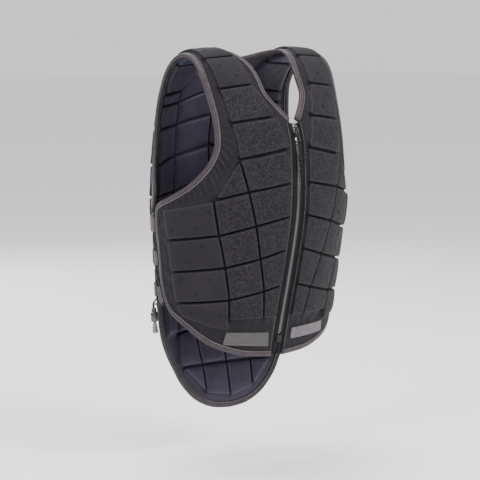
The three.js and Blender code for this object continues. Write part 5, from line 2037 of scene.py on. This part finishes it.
def main() -> None:
    """Builds the vest's looks and the studio, in order."""
    logging.basicConfig(level=logging.INFO, format="%(message)s")
    Bench.clear()
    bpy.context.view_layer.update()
    studio = Studio()
    studio.camera()
    vest = Vest(FlatPattern(BodyForm()))
    # matt knit that breaks the light into specks on the chest tiles; its cells are drawn at 2.1 mm, coarser than the
    # real 1.4 mm, so that they read at the picture's size
    cover = SpacerMesh("polyester_spacer_mesh", roughness=0.72, sheen=0.03, specular=0.18).build()
    # smooth inner cloth with a cool blue-grey sheen on its padded crowns; knit at its real size
    lining = LiningKnit("brushed_tricot", roughness=0.55, sheen=0.16, sheen_tint="#a9a6cc", specular=0.3).build()
    # the pale mauve outline of the vest; ribs at their real 1.6 mm
    tape = Ribbed("grosgrain_tape", roughness=0.45, sheen=0.12, sheen_tint="#d8c8d2", specular=0.3, line=4.2,
                  lines=0.7).build()
    # light dots along the tapes and the zip
    thread = Moulded("polyester_thread", roughness=0.5, sheen=0.1, colour="#5c555a", shade="#7c7479").build()
    # pale loops that stand out against the black laces
    webbing = Ribbed("polyester_webbing", roughness=0.6, sheen=0.15, dark="#231f22", light="#4e464b", rib=1.8).build()
    # the darkest band, which sets the teeth off
    zip_cloth = Ribbed("woven_zip_tape", roughness=0.75, specular=0.2, dark="#060607", light="#141316", rib=1.4).build()
    # black braid with fine diagonal-looking ribs, drawn at 1.9 mm
    cord = Ribbed("braided_elastic", roughness=0.6, dark="#09090a", light="#1d1b1e", rib=1.9).build()
    # wet-looking teeth that catch the lamps in a broken line
    teeth = Moulded("glossy_acetal", roughness=0.16, coat=1.0, colour="#242427", shade="#343437").build()
    # flat black of the pull and the box
    plastic = Moulded("moulded_acetal", roughness=0.3, specular=0.25, colour="#050506", shade="#09090a").build()
    # black lacquer with sharp glints on the slider and its link
    metal = Moulded("painted_zinc", roughness=0.18, coat=0.4, specular=0.45, colour="#060607", shade="#0c0c0d").build()
    # clear-edged dark grey of the cord locks
    smoky = Moulded("smoky_nylon", roughness=0.18, coat=0.6, colour="#161517", shade="#3a393c").build()
    # mid grey of the ribbed ends
    pale = Moulded("grey_nylon", roughness=0.35, colour="#5d5b5e", shade="#7c7a7d").build()
    # dull grey patch
    rubber = Moulded("moulded_rubber", roughness=0.65, colour="#343133", shade="#403d3f").build()
    # lighter woven patch with a fine weft
    woven = Ribbed("damask_label", roughness=0.7, dark="#4c474b", light="#6f696e", rib=1.0).build()
    build_panels(vest, cover, lining)
    tapes = EdgeTapes(vest)
    tapes.build(tape, thread)
    tapes.build_zip_seams(thread)
    zip_front = FrontZip(vest.pattern)
    zip_front.build_tapes(zip_cloth)
    zip_front.build_chain(teeth)
    zip_front.build_slider(metal, plastic)
    lacing = SideLacing(vest)
    lacing.build_loops(webbing)
    lacing.build_laces(cord)
    lacing.build_locks(smoky, pale)
    Labels(vest.pattern).build(rubber, woven, thread)
    studio.light()
    studio.ground()
    Bench.clear()


if __name__ == "__main__":
    main()
